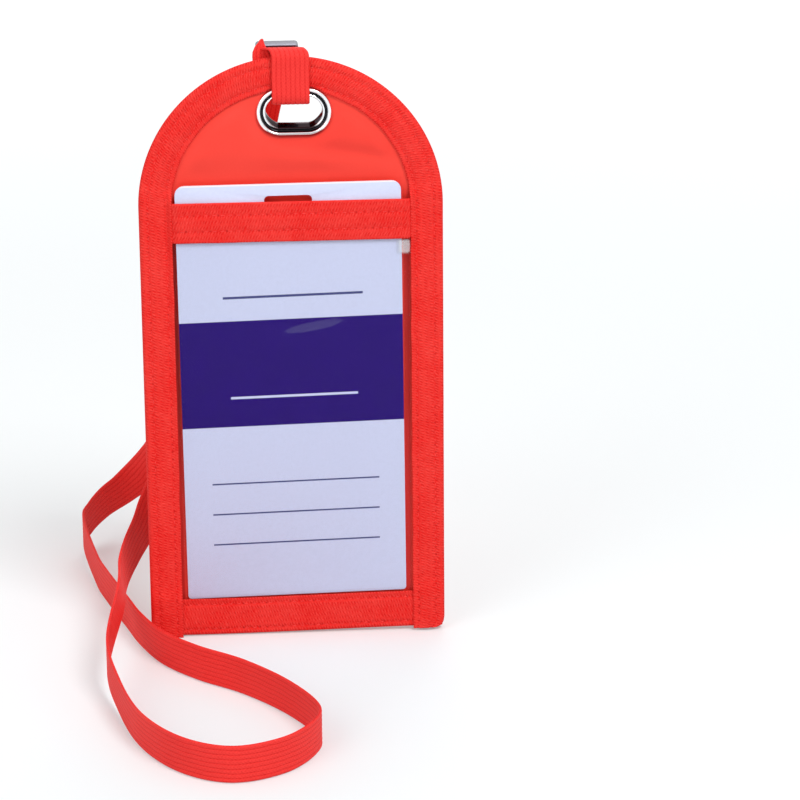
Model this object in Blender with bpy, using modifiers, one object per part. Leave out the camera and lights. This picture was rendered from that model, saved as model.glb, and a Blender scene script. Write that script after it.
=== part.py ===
"""Neck badge holder: a flat arch-topped pouch with a clear card window, two pockets on its back,
an oval eyelet and a flat neck strap closed by a metal crimp.

The pouch is drawn standing on its bottom edge: X across, Y from front to back, Z up, with the zero
of Y between its two panels. Empties then carry the pieces, so that the world's origin is the point
in the crimp where the strap holds everything up.
"""

import bpy
import bmesh
from math import ceil, cos, pi, sin, sqrt
from mathutils import Vector

mm = 0.001

# Pouch outline
pouch_width = 101.6 * mm
pouch_height = 203.2 * mm
arch_radius = pouch_width / 2
arch_steps = 24

# Sheets, from front to back
sheet_gap = 0.3 * mm
front_panel_thickness = 0.5 * mm
back_panel_thickness = 0.6 * mm
window_thickness = 0.3 * mm
pocket_thickness = 0.5 * mm
net_thickness = 0.6 * mm
hem_thickness = 0.4 * mm

# Binding tape round the edge and along the bottom
binding_thickness = 0.6 * mm
binding_width = 11.0 * mm
binding_fold_radius = 0.8 * mm
bottom_binding_thickness = 0.5 * mm
bottom_binding_front = 13.8 * mm
bottom_binding_back = 11.0 * mm
binding_ease = 5.0 * mm

# Window and its card
card_margin = 2.3 * mm
card_show = 6.2 * mm
card_thickness = 0.6 * mm
card_corner = 3.2 * mm
card_slot_length = 16.0 * mm
card_slot_height = 3.2 * mm
card_slot_drop = 4.1 * mm
card_rest_rise = 1.7 * mm
card_side_clearance = 0.35 * mm
card_side_wall = 1.6 * mm
window_drop = 48.9 * mm
window_hem_height = 13.0 * mm
window_hem_end = 1.6 * mm

# Pockets on the back
pen_pocket_drop = 52.9 * mm
pen_pocket_foot = 60.0 * mm
pen_pocket_gape = 8.5 * mm
net_pocket_height = 77.6 * mm
net_pocket_foot = 12.0 * mm
net_pocket_gape = 8.0 * mm
pocket_hem_height = 13.0 * mm
pocket_seam_width = 2.6 * mm
pocket_hem_end = 4.4 * mm
net_pitch = 5.0 * mm
net_thread = 1.0 * mm
net_overlap = 3.2 * mm
pocket_rise_steps = 6

# Columns across half a pocket's hem, closer where the sheet curves most
hem_column_shares = (0.17, 0.34, 0.51, 0.65, 0.78, 0.89, 1.0)

# Oval eyelet and the washer behind it
eyelet_drop = 18.6 * mm
eyelet_shift = 1.5 * mm
hole_length = 19.0 * mm
hole_height = 10.2 * mm
eyelet_wall = 0.4 * mm
eyelet_rim_width = 3.1 * mm
eyelet_rim_rise = 1.1 * mm
eyelet_lip_width = 1.4 * mm
eyelet_lip_thickness = 0.4 * mm
washer_width = 3.0 * mm
washer_thickness = 0.6 * mm
eyelet_end_steps = 10
rim_turns = (pi / 6, pi / 3, pi / 2, 2 * pi / 3, 5 * pi / 6)

# Neck strap, its loop through the eyelet and the crimp that closes it
strap_width = 12.5 * mm
strap_thickness = 0.9 * mm
strap_step = 12.5 * mm
strap_end_step = 3.0 * mm
strap_end_reach = 24.0 * mm
loop_step = 1.6 * mm
loop_mouth_gap = 0.75 * mm
loop_shift = 0.5 * mm
loop_rise = 1.6 * mm
crimp_shift = -3.5 * mm
crimp_back = 8.9 * mm
crimp_rise = 0.7 * mm
crimp_length = 7.5 * mm
crimp_width = 14.2 * mm
crimp_wall = 0.5 * mm
crimp_corner = 0.7 * mm
crimp_seam = 2.0 * mm
strap_layer_gap = 0.3 * mm
swing_back = 0.1 * mm
swing_rise = 0.7 * mm
span_steps = 24

# The neck strap's centre line, from behind the crimp to the surface and back to the crimp
lanyard_route_level = 203.9 * mm
twist_start = 20.0 * mm
first_twist_end = 150.0 * mm
last_twist_end = 270.0 * mm
lanyard_route = [
    (-3.5 * mm, 16.4 * mm, 204.0 * mm),
    (-3.5 * mm, 19.4 * mm, 201.7 * mm),
    (-4.6 * mm, 21.8 * mm, 197.0 * mm),
    (-8.5 * mm, 24.2 * mm, 186.0 * mm),
    (-19.0 * mm, 37.0 * mm, 146.0 * mm),
    (-30.5 * mm, 60.0 * mm, 98.0 * mm),
    (-40.0 * mm, 82.0 * mm, 59.0 * mm),
    (-47.0 * mm, 95.0 * mm, 38.0 * mm),
    (-54.3 * mm, 102.5 * mm, 24.8 * mm),
    (-61.2 * mm, 103.0 * mm, 18.4 * mm),
    (-68.3 * mm, 98.5 * mm, 14.8 * mm),
    (-73.7 * mm, 90.5 * mm, 11.6 * mm),
    (-75.8 * mm, 80.5 * mm, 9.4 * mm),
    (-70.6 * mm, 50.0 * mm, 6.6 * mm),
    (-66.7 * mm, 33.0 * mm, 6.6 * mm),
    (-59.0 * mm, 6.0 * mm, 6.6 * mm),
    (-54.2 * mm, -10.3 * mm, 6.6 * mm),
    (-46.7 * mm, -27.4 * mm, 6.6 * mm),
    (-35.0 * mm, -42.0 * mm, 6.6 * mm),
    (-20.0 * mm, -55.5 * mm, 6.6 * mm),
    (-6.0 * mm, -74.0 * mm, 6.6 * mm),
    (3.2 * mm, -94.0 * mm, 6.6 * mm),
    (1.6 * mm, -107.0 * mm, 6.6 * mm),
    (-8.5 * mm, -120.5 * mm, 6.6 * mm),
    (-25.0 * mm, -126.5 * mm, 6.6 * mm),
    (-41.0 * mm, -117.5 * mm, 6.6 * mm),
    (-53.5 * mm, -97.0 * mm, 6.6 * mm),
    (-61.0 * mm, -69.0 * mm, 7.4 * mm),
    (-64.8 * mm, -46.0 * mm, 12.5 * mm),
    (-61.0 * mm, -10.0 * mm, 18.0 * mm),
    (-60.2 * mm, 7.0 * mm, 20.8 * mm),
    (-57.0 * mm, 20.0 * mm, 25.0 * mm),
    (-50.4 * mm, 33.0 * mm, 34.0 * mm),
    (-38.0 * mm, 38.0 * mm, 62.0 * mm),
    (-20.0 * mm, 29.0 * mm, 128.0 * mm),
    (-7.8 * mm, 20.4 * mm, 185.0 * mm),
    (-3.6 * mm, 18.3 * mm, 198.2 * mm),
    (-3.5 * mm, 15.6 * mm, 202.2 * mm),
]

cut_overrun = 2.0 * mm

# Places that follow from the sizes above
arch_centre_z = pouch_height - arch_radius
window_height = pouch_height - window_drop
pen_pocket_height = pouch_height - pen_pocket_drop
crimp_level = pouch_height + crimp_rise
swing_level = pouch_height + swing_rise
eyelet_z = pouch_height - eyelet_drop
eyelet_centre = (eyelet_shift, eyelet_z)
front_face = -(sheet_gap / 2 + front_panel_thickness)
back_face = sheet_gap / 2 + back_panel_thickness
panel_edge = pouch_width / 2 - binding_thickness - sheet_gap
panel_foot = bottom_binding_thickness + sheet_gap
window_flat = front_face - sheet_gap - window_thickness / 2
pen_flat = back_face + sheet_gap + pocket_thickness / 2
net_flat = pen_flat + pocket_thickness / 2 + sheet_gap + net_thickness / 2
inner_edge = pouch_width / 2 - binding_width
card_foot = bottom_binding_front + card_rest_rise
card_width = 2 * (inner_edge - card_margin)
card_height = window_height - card_foot + card_show
card_half = card_width / 2 + card_side_clearance
strap_front_face = -(-front_face + sheet_gap + eyelet_rim_rise + sheet_gap + strap_thickness)
card_back_at_foot = front_face - sheet_gap
card_back_at_eyelet = strap_front_face - sheet_gap
card_lean = (card_back_at_foot - card_back_at_eyelet) / (eyelet_z + hole_height / 2 - card_foot)


def card_back(z):
    """Y of the card's back face, which leans forward so that the card clears the strap as it is drawn out."""
    return card_back_at_foot - card_lean * (z - card_foot)


def ease(share):
    """A smooth step from 0 to 1."""
    share = min(1.0, max(0.0, share))
    return share * share * (3 - 2 * share)


def window_surface(x, z):
    """Y of the window's middle: flat at its seams, and in front of the card between them."""
    over_card = card_back(z) - card_thickness - 2 * sheet_gap - hem_thickness - window_thickness / 2
    side = min(1.0, max(0.0, (card_half + card_side_wall - abs(x)) / card_side_wall))
    foot = min(1.0, max(0.0, (z - bottom_binding_front) / card_rest_rise))
    return window_flat + (over_card - window_flat) * side * foot


def swell(x):
    """How far a pocket stands off across its width, from 0 at its side seams to 1 in the middle."""
    return cos(pi / 2 * min(1.0, abs(x) / (inner_edge - pocket_seam_width)) ** 2)


def pen_surface(x, z):
    """Y of the pen pocket's middle."""
    rise = ease((z - pen_pocket_foot) / (pen_pocket_height - pen_pocket_foot))
    return pen_flat + pen_pocket_gape * rise * swell(x)


def net_surface(x, z):
    """Y of the net pocket's middle, which lies on the pen pocket and gapes at its own mouth."""
    share = min(1.0, max(0.0, (z - net_pocket_foot) / (net_pocket_height - net_pocket_foot)))
    rise = 1 - (1 - share) ** 2
    return pen_surface(x, z) + (net_flat - pen_flat) + net_pocket_gape * rise * swell(x)


def material(name, color, roughness, metallic=0.0, alpha=1.0):
    """A Principled material in the piece's own colour."""
    made = bpy.data.materials.new(name)
    made.use_nodes = True
    shader = made.node_tree.nodes["Principled BSDF"]
    shader.inputs["Base Color"].default_value = (*color, 1.0)
    shader.inputs["Roughness"].default_value = roughness
    shader.inputs["Metallic"].default_value = metallic
    shader.inputs["Alpha"].default_value = alpha
    return made


def empty(name, place, carrier=None):
    """An empty at a place in the pouch's own coordinates."""
    made = bpy.data.objects.new(name, None)
    parts.objects.link(made)
    made.location = place
    if carrier:
        made.parent = carrier
        made.location = Vector(place) - Vector(carrier["pouch_place"])
    made["pouch_place"] = tuple(place)
    return made


def carried(piece, carrier, look):
    """Hang a piece on its carrier, so that its mesh keeps the pouch's coordinates, and give it its material."""
    piece.parent = carrier
    piece.location = piece.location - Vector(carrier["pouch_place"])
    piece.data.materials.append(look)
    return piece


def mesh_object(name, shape, home):
    """An object from a bmesh, in the collection named home."""
    data = bpy.data.meshes.new(name)
    shape.to_mesh(data)
    shape.free()
    made = bpy.data.objects.new(name, data)
    home.objects.link(made)
    data.shade_smooth()
    data.set_sharp_from_angle(angle=pi / 6)
    return made


def lofted(name, rows, home=None, ring_rows=False, ring_points=False):
    """An open or ring-shaped surface through rows that have the same number of points."""
    shape = bmesh.new()
    grid = [[shape.verts.new(point) for point in row] for row in rows]
    row_pairs = list(zip(grid, grid[1:]))
    if ring_rows:
        row_pairs.append((grid[-1], grid[0]))
    for row, following in row_pairs:
        count = len(row) if ring_points else len(row) - 1
        for i in range(count):
            j = (i + 1) % len(row)
            shape.faces.new((row[i], row[j], following[j], following[i]))
    bmesh.ops.recalc_face_normals(shape, faces=shape.faces)
    return mesh_object(name, shape, home or parts)


def thickened(piece, thickness):
    """Give an open surface its thickness, half to each side."""
    wall = piece.modifiers.new("thickness", "SOLIDIFY")
    wall.thickness = thickness
    wall.offset = 0.0
    wall.use_even_offset = True
    return piece


def arc(centre, radius, start, end, steps):
    """Points on an arc in a plane, both ends included."""
    turn = [start + (end - start) * i / steps for i in range(steps + 1)]
    return [(centre[0] + radius * cos(a), centre[1] + radius * sin(a)) for a in turn]


def oval(length, height, centre, steps):
    """A stadium outline: two half circles joined by straight runs."""
    radius = height / 2
    straight = length / 2 - radius
    right = arc((centre[0] + straight, centre[1]), radius, -pi / 2, pi / 2, steps)
    left = arc((centre[0] - straight, centre[1]), radius, pi / 2, 3 * pi / 2, steps)
    return right + left


def flat_plate(name, outlines, middle_y, thickness):
    """A plate from outlines in X and Z: the first is its edge and the others are holes."""
    data = bpy.data.curves.new(name, "CURVE")
    data.dimensions = "2D"
    data.fill_mode = "BOTH"
    data.extrude = thickness / 2
    for outline in outlines:
        spline = data.splines.new("POLY")
        spline.points.add(len(outline) - 1)
        for point, (x, z) in zip(spline.points, outline):
            point.co = (x, z, 0.0, 1.0)
        spline.use_cyclic_u = True
    plate = bpy.data.objects.new(name, data)
    parts.objects.link(plate)
    plate.rotation_euler = (pi / 2, 0.0, 0.0)
    plate.location = (0.0, middle_y, 0.0)
    return plate


def cut_by(piece, cutter):
    """Cut a piece by a cutter that stands in the same coordinates."""
    cutter.hide_render = True
    cutter.display_type = "WIRE"
    cut = piece.modifiers.new("cut " + cutter.name, "BOOLEAN")
    cut.operation = "DIFFERENCE"
    cut.object = cutter
    return piece


def panel_outline():
    """The two panels' shared outline: square at the foot, half round at the top."""
    top = arc((0.0, arch_centre_z), panel_edge, 0.0, pi, arch_steps)
    return [(-panel_edge, panel_foot), (panel_edge, panel_foot)] + top


def panel_hole():
    """The hole in the panels, just clear of the eyelet's barrel."""
    growth = 2 * (eyelet_wall + sheet_gap)
    return oval(hole_length + growth, hole_height + growth, eyelet_centre, eyelet_end_steps)[::-1]


def make_panels(carrier):
    front = flat_plate(
        "front_panel", [panel_outline(), panel_hole()], front_face + front_panel_thickness / 2, front_panel_thickness
    )
    back = flat_plate(
        "back_panel", [panel_outline(), panel_hole()], back_face - back_panel_thickness / 2, back_panel_thickness
    )
    carried(front, carrier, looks["panel"])
    carried(back, carrier, looks["nonwoven"])


def edge_stations():
    """Places up the left side, over the arch and down the right side, each with its outward direction."""
    level_zs = [0.0, bottom_binding_front, bottom_binding_front + binding_ease]
    for mouth in (net_pocket_height, pen_pocket_height):
        level_zs += [mouth, mouth + binding_ease]
    level_zs = sorted(z for z in level_zs if z < arch_centre_z)
    left = [(Vector((-arch_radius, 0.0, z)), Vector((-1.0, 0.0, 0.0))) for z in level_zs]
    right = [(Vector((arch_radius, 0.0, z)), Vector((1.0, 0.0, 0.0))) for z in reversed(level_zs)]
    over = []
    for i in range(arch_steps + 1):
        turn = pi - pi * i / arch_steps
        out = Vector((cos(turn), 0.0, sin(turn)))
        over.append((Vector((0.0, 0.0, arch_centre_z)) + arch_radius * out, out))
    return left + over + right


def stepped(z, foot, levels):
    """A depth that eases from foot to each later (mouth, depth) level above its mouth."""
    depth = foot
    for mouth, following in levels:
        depth += (following - depth) * ease((z - mouth) / binding_ease)
    return depth


def fold_profile(front, back, front_width, back_width, fold, thickness):
    """A U fold as (distance in from the edge, Y) pairs, from the front flange round to the back flange."""
    edge = thickness / 2
    round_front = [
        (edge + fold * (1 - cos(a)), front + fold * (1 - sin(a))) for a in (pi / 2, pi / 4, 0.0)
    ]
    round_back = [(edge + fold * (1 - cos(a)), back - fold * (1 - sin(a))) for a in (0.0, pi / 4, pi / 2)]
    return [(front_width, front)] + round_front + round_back + [(back_width, back)]


def make_edge_binding(carrier):
    """Binding tape folded over the sides and the arch, closer where there are fewer layers under it."""
    half = binding_thickness / 2
    under_arch_front = front_face - sheet_gap - half
    over_window = window_flat - window_thickness / 2 - sheet_gap - half
    over_bottom = over_window - bottom_binding_thickness - sheet_gap
    under_arch_back = back_face + sheet_gap + half
    over_pen = pen_flat + pocket_thickness / 2 + sheet_gap + half
    over_net = net_flat + net_thickness / 2 + sheet_gap + half
    over_bottom_back = over_net + bottom_binding_thickness + sheet_gap
    front_levels = [(bottom_binding_front, over_window), (window_height + binding_ease / 2, under_arch_front)]
    back_levels = [
        (bottom_binding_front, over_net),
        (net_pocket_height, over_pen),
        (pen_pocket_height, under_arch_back),
    ]
    rows = []
    for place, out in edge_stations():
        level = place.z + 0.0
        front = stepped(level, over_bottom, front_levels)
        back = stepped(level, over_bottom_back, back_levels)
        profile = fold_profile(front, back, binding_width, binding_width, binding_fold_radius, binding_thickness)
        rows.append([place - out * inset + Vector((0.0, y, 0.0)) for inset, y in profile])
    tape = thickened(lofted("edge_binding", rows), binding_thickness)
    growth = 2 * (eyelet_rim_width + sheet_gap)
    outline = oval(hole_length + growth, hole_height + growth, eyelet_centre, eyelet_end_steps)
    reach = 2 * max(abs(over_bottom), over_bottom_back) + cut_overrun
    notch = bmesh.new()
    face = notch.faces.new([notch.verts.new((x, -reach, z)) for x, z in outline])
    pushed = bmesh.ops.extrude_face_region(notch, geom=[face])
    moved = [v for v in pushed["geom"] if isinstance(v, bmesh.types.BMVert)]
    bmesh.ops.translate(notch, verts=moved, vec=(0.0, 2 * reach, 0.0))
    bmesh.ops.recalc_face_normals(notch, faces=notch.faces)
    cutter = mesh_object("eyelet_notch", notch, cutters)
    cutter.parent = carrier
    cutter.location = -Vector(carrier["pouch_place"])
    cut_by(tape, cutter)
    carried(tape, carrier, looks["binding"])


def make_bottom_binding(carrier):
    """Binding tape folded over the bottom edge, its ends under the side binding."""
    half = bottom_binding_thickness / 2
    front = window_flat - window_thickness / 2 - sheet_gap - half
    back = net_flat + net_thickness / 2 + sheet_gap + half
    profile = fold_profile(
        front, back, bottom_binding_front, bottom_binding_back, binding_fold_radius, bottom_binding_thickness
    )
    rows = [[Vector((x, y, z)) for z, y in profile] for x in (-panel_edge, panel_edge)]
    tape = thickened(lofted("bottom_binding", rows), bottom_binding_thickness)
    carried(tape, carrier, looks["binding"])


def make_window(carrier):
    """The clear sheet, sewn at its sides and foot, and the folded hem along its mouth."""
    wall = card_half + card_side_wall
    xs = [panel_edge, wall + sheet_gap, wall, card_half, card_half - card_side_wall, 0.0]
    xs = [-x for x in xs] + [x for x in reversed(xs[:-1])]
    foot_top = bottom_binding_front + card_rest_rise
    zs = [panel_foot, bottom_binding_front, foot_top, (foot_top + window_height) / 2, window_height]
    rows = [[Vector((x, window_surface(x, z), z)) for x in xs] for z in zs]
    sheet = thickened(lofted("window", rows), window_thickness)
    carried(sheet, carrier, looks["vinyl"])

    reach = card_half - window_hem_end
    offset = window_thickness / 2 + sheet_gap + hem_thickness / 2
    rows = []
    for share in (-1.0, -1 / 3, 1 / 3, 1.0):
        x = share * reach
        rows.append(hem_row(x, window_height, window_hem_height, offset, window_surface))
    hem = thickened(lofted("window_hem", rows), hem_thickness)
    carried(hem, carrier, looks["binding"])


def hem_row(x, mouth, height, offset, surface):
    """A hem's section at x: down the front, over the mouth and down the back of the sheet."""
    low = mouth - height
    top = mouth + sheet_gap + hem_thickness / 2
    sides = []
    for side in (-1, 1):
        sides.append([Vector((x, surface(x, z) + side * offset, z)) for z in (low, (low + mouth) / 2, mouth)])
    crown = [Vector((x, surface(x, mouth) + share * offset, top)) for share in (-0.5, 0.5)]
    return sides[0] + crown + sides[1][::-1]


def make_pen_pocket(carrier):
    """The upper pocket, a full sheet sewn at its sides and foot, with a hemmed mouth that gapes."""
    hem_foot = pen_pocket_height - pocket_hem_height
    rises = pocket_rise_steps
    zs = [panel_foot] + [pen_pocket_foot + (hem_foot - pen_pocket_foot) * i / rises for i in range(rises + 1)]
    zs += [(hem_foot + pen_pocket_height) / 2, pen_pocket_height]
    rows = [[Vector((x, pen_surface(x, z), z)) for x in pocket_columns] for z in zs]
    sheet = thickened(lofted("pen_pocket", rows), pocket_thickness)
    carried(sheet, carrier, looks["nonwoven"])
    offset = pocket_thickness / 2 + sheet_gap + hem_thickness / 2
    make_pocket_hem("pen_pocket_hem", pen_pocket_height, offset, pen_surface, carrier)


def make_pocket_hem(name, mouth, offset, surface, carrier):
    """The folded tape along a pocket's mouth, between its side seams."""
    rows = [hem_row(x, mouth, pocket_hem_height, offset, surface) for x in hem_columns]
    hem = thickened(lofted(name, rows), hem_thickness)
    carried(hem, carrier, looks["binding"])


def make_net_pocket(carrier):
    """The lower pocket of hexagonal net: six-sided cells, each edge widened to a thread and each cell opened."""
    row_step = net_pitch * sqrt(3) / 2
    half_width = inner_edge + net_overlap
    low = bottom_binding_back - net_overlap
    high = net_pocket_height - sheet_gap - net_pitch / 2
    columns = ceil(half_width / net_pitch)
    net = bmesh.new()
    z = low + net_pitch / 2
    row = 0
    while z <= high - net_pitch / 4:
        shift = net_pitch / 2 * (row % 2)
        for column in range(-columns, columns + 1):
            x = column * net_pitch + shift - net_pitch / 4
            if abs(x) > half_width:
                continue
            cell = bmesh.ops.create_circle(net, cap_ends=True, segments=6, radius=net_pitch / sqrt(3))
            bmesh.ops.translate(net, verts=cell["verts"], vec=(x, z, 0.0))
        z += row_step
        row += 1
    bmesh.ops.remove_doubles(net, verts=net.verts, dist=net_pitch / 50)
    bmesh.ops.bevel(
        net, geom=net.edges[:], offset=net_thread / 2, offset_type="OFFSET", segments=1, affect="EDGES"
    )
    cells = [face for face in net.faces if len(face.verts) == 6]
    bmesh.ops.delete(net, geom=cells, context="FACES")
    for vertex in net.verts:
        x, z = vertex.co.x, vertex.co.y
        vertex.co = (x, net_surface(x, z), z)
    bmesh.ops.recalc_face_normals(net, faces=net.faces)
    sheet = thickened(mesh_object("net_pocket", net, parts), net_thickness)
    carried(sheet, carrier, looks["net"])
    offset = net_thickness / 2 + sheet_gap + hem_thickness / 2
    make_pocket_hem("net_pocket_hem", net_pocket_height, offset, net_surface, carrier)


def make_card(carrier):
    """The card, leaning forward with its slot near the top."""
    half = card_width / 2 - card_corner
    top = card_height - card_corner
    edge = arc((half, card_corner), card_corner, -pi / 2, 0.0, 4)
    edge += arc((half, top), card_corner, 0.0, pi / 2, 4)
    edge += arc((-half, top), card_corner, pi / 2, pi, 4)
    edge += arc((-half, card_corner), card_corner, pi, 3 * pi / 2, 4)
    slot_z = card_height - card_slot_drop - card_slot_height / 2
    slot = oval(card_slot_length, card_slot_height, (0.0, slot_z), 5)[::-1]
    card = flat_plate("card_insert", [edge, slot], 0.0, card_thickness)
    card.rotation_euler = (pi / 2 + card_lean, 0.0, 0.0)
    middle = card_back(card_foot) - card_thickness / 2
    card.location = (0.0, middle, card_foot)
    carried(card, carrier, looks["card"])


def oval_ring(name, profile):
    """A ring swept round the eyelet's hole: profile gives (distance out from the hole, Y) pairs."""
    rows = []
    for distance, y in profile:
        outline = oval(
            hole_length + 2 * distance, hole_height + 2 * distance, eyelet_centre, eyelet_end_steps
        )
        rows.append([Vector((x, y, z)) for x, z in outline])
    return lofted(name, rows, ring_rows=True, ring_points=True)


def make_eyelet(carrier):
    """The eyelet's rounded rim, its barrel through the panels and the lip turned over the washer."""
    seat = front_face - sheet_gap
    crown = seat - eyelet_rim_rise
    washer_front = back_face + sheet_gap
    washer_back = washer_front + washer_thickness
    lip_front = washer_back + sheet_gap
    lip_back = lip_front + eyelet_lip_thickness
    middle = eyelet_rim_width / 2
    rim = [(middle - middle * cos(a), seat + (crown - seat) * sin(a)) for a in rim_turns]
    barrel_front = [(eyelet_rim_width, seat), (eyelet_wall, seat)]
    lip = [(eyelet_wall, lip_front), (eyelet_lip_width, lip_front), (eyelet_lip_width, lip_back)]
    inside = [(eyelet_wall, lip_back), (0.0, lip_back - eyelet_lip_thickness), (0.0, seat)]
    ring = oval_ring("eyelet", rim + barrel_front + lip + inside)
    carried(ring, carrier, looks["chrome"])
    clear = eyelet_wall + sheet_gap
    washer = [(clear, washer_front), (washer_width, washer_front), (washer_width, washer_back), (clear, washer_back)]
    carried(oval_ring("eyelet_washer", washer), carrier, looks["chrome"])


def smooth_path(points, step, end_step, end_reach):
    """Points on a smooth curve through the given ones, closer together near its two ends."""
    points = [Vector(p) for p in points]
    ends = [2 * points[0] - points[1]] + points + [2 * points[-1] - points[-2]]
    fine = []
    for a, b, c, d in zip(ends, ends[1:], ends[2:], ends[3:]):
        for i in range(span_steps):
            t = i / span_steps
            bend = (2 * a - 5 * b + 4 * c - d) * t ** 2 + (3 * b - a - 3 * c + d) * t ** 3
            fine.append(0.5 * (2 * b + (c - a) * t + bend))
    fine.append(points[-1])
    lengths = [0.0]
    for a, b in zip(fine, fine[1:]):
        lengths.append(lengths[-1] + (b - a).length)
    total = lengths[-1]
    close = ceil(end_reach / end_step)
    middle_count = max(1, ceil((total - 2 * end_reach) / step))
    reaches = [end_reach * i / close for i in range(close)]
    reaches += [end_reach + (total - 2 * end_reach) * i / middle_count for i in range(middle_count)]
    reaches += [total - end_reach * i / close for i in range(close, -1, -1)]
    path = []
    k = 0
    for wanted in reaches:
        while k < len(fine) - 2 and lengths[k + 1] < wanted:
            k += 1
        span = lengths[k + 1] - lengths[k]
        path.append(fine[k].lerp(fine[k + 1], min(1.0, (wanted - lengths[k]) / span)))
    return path, reaches


def ribbon(name, path, across, look, carrier):
    """A flat strap along a path, with across giving the direction of its width at each point."""
    rows = []
    for i, point in enumerate(path):
        side = across[i] * (strap_width / 2)
        rows.append([point - side, point + side])
    strap = thickened(lofted(name, rows), strap_thickness)
    return carried(strap, carrier, look)


def make_loop(carrier):
    """The strap's loop: out of the crimp, over the arch, down the front, through the hole and up behind."""
    half = strap_thickness / 2
    layer = half + strap_layer_gap / 2
    mouth_y = crimp_back - crimp_length / 2 - loop_mouth_gap
    front_at_rim = strap_front_face + half
    front_at_arch = front_face - sheet_gap - binding_thickness - sheet_gap - half
    behind_arch = back_face + sheet_gap + binding_thickness + sheet_gap + half
    behind_lip = back_face + 3 * sheet_gap + washer_thickness + eyelet_lip_thickness + half
    hole_top = eyelet_z + hole_height / 2
    hole_radius = hole_height / 2
    corner_reach = max(0.0, strap_width / 2 + abs(loop_shift - eyelet_shift) - hole_length / 2 + hole_radius)
    corner_drop = hole_radius - sqrt(hole_radius ** 2 - corner_reach ** 2)
    under_rim = hole_top - corner_drop - sheet_gap - half
    over_arch = pouch_height + sheet_gap + half
    turn = binding_width / 4
    slip = (loop_shift - crimp_shift) / 4
    crown = over_arch + loop_rise
    points = [
        (crimp_shift, mouth_y, crimp_level + layer),
        (crimp_shift + slip, (mouth_y + back_face) / 2, (crimp_level + layer + 2 * crown) / 3),
        (crimp_shift + 2 * slip, back_face, crown),
        (crimp_shift + 3 * slip, front_face, crown),
        (loop_shift, front_at_arch - half, over_arch),
        (loop_shift, front_at_arch - half, over_arch - 2 * turn),
        (loop_shift, front_at_rim, hole_top + turn),
        (loop_shift, front_at_rim, hole_top + half),
        (loop_shift, front_at_rim + strap_thickness, under_rim - half / 2),
        (loop_shift, 0.0, under_rim - half),
        (loop_shift, behind_lip - strap_thickness, under_rim - half / 2),
        (loop_shift, behind_lip, hole_top + half),
        (loop_shift, behind_lip, hole_top + turn),
        (crimp_shift + 3 * slip, behind_arch + half, over_arch - 2 * turn),
        (crimp_shift + 2 * slip, behind_arch + half, over_arch - turn),
        (crimp_shift + slip, behind_arch + strap_thickness, crimp_level - layer - strap_thickness),
        (crimp_shift, mouth_y, crimp_level - layer),
    ]
    path, _ = smooth_path(points, loop_step, loop_step, 2 * loop_step)
    across = [Vector((1.0, 0.0, 0.0))] * len(path)
    ribbon("strap_loop", path, across, looks["strap"], carrier)


def make_crimp(carrier):
    """The bent metal crimp: a flat tube, open along a seam underneath."""
    half_x = crimp_width / 2 - crimp_wall / 2
    half_z = strap_thickness + strap_layer_gap / 2 + strap_layer_gap + crimp_wall / 2
    corner = crimp_corner
    section = [(-crimp_seam / 2, -half_z)]
    section += arc((-half_x + corner, -half_z + corner), corner, 3 * pi / 2, pi, 3)
    section += arc((-half_x + corner, half_z - corner), corner, pi, pi / 2, 3)
    section += arc((half_x - corner, half_z - corner), corner, pi / 2, 0.0, 3)
    section += arc((half_x - corner, -half_z + corner), corner, 0.0, -pi / 2, 3)
    section += [(crimp_seam / 2, -half_z)]
    rows = []
    for end in (-1, 1):
        y = crimp_back + end * crimp_length / 2
        rows.append([Vector((crimp_shift + x, y, crimp_level + z)) for x, z in section])
    shell = thickened(lofted("crimp", rows), crimp_wall)
    carried(shell, carrier, looks["steel"])


def make_lanyard(carrier):
    """The neck strap: out of the crimp, down behind the pouch, round in two bends on the surface and back."""
    layer = strap_thickness / 2 + strap_layer_gap / 2
    mouth_y = crimp_back - crimp_length / 2
    exit_y = crimp_back + crimp_length / 2 + strap_thickness
    first = (crimp_shift, exit_y, crimp_level + layer)
    last = (crimp_shift, exit_y, crimp_level - layer)
    stretch = crimp_level / lanyard_route_level
    points = [first] + [(x, y, z * stretch) for x, y, z in lanyard_route] + [last]
    path, reaches = smooth_path(points, strap_step, strap_end_step, strap_end_reach)
    length = reaches[-1]
    sideways = -Vector((1.0, 0.0, 0.0))
    across = []
    for i, reach in enumerate(reaches):
        ahead = (path[min(i + 1, len(path) - 1)] - path[max(i - 1, 0)]).normalized()
        upright = Vector((0.0, 0.0, 1.0))
        upright = upright - upright.dot(ahead) * ahead
        level = sideways - sideways.dot(ahead) * ahead
        twist_end = first_twist_end if reach < length / 2 else last_twist_end
        share = ease((min(reach, length - reach) - twist_start) / (twist_end - twist_start))
        across.append((upright.normalized() * share + level.normalized() * (1 - share)).normalized())
    path = [Vector((crimp_shift, mouth_y, first[2]))] + path + [Vector((crimp_shift, mouth_y, last[2]))]
    across = [sideways] + across + [sideways]
    print("neck strap length", round(length + 2 * (exit_y - mouth_y), 4), len(path))
    ribbon("lanyard", path, across, looks["strap"], carrier)


# Columns of the pockets' sheets and hems
hem_half = [share * (inner_edge - pocket_hem_end) for share in hem_column_shares]
hem_columns = [-x for x in reversed(hem_half)] + [0.0] + hem_half
pocket_sides = (inner_edge - pocket_seam_width, panel_edge)
pocket_columns = [-x for x in reversed(pocket_sides)] + hem_columns + list(pocket_sides)

for leftover in list(bpy.data.objects):
    bpy.data.objects.remove(leftover)

parts = bpy.data.collections.new("badge_holder")
cutters = bpy.data.collections.new("cutters")
bpy.context.scene.collection.children.link(parts)
bpy.context.scene.collection.children.link(cutters)

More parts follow.
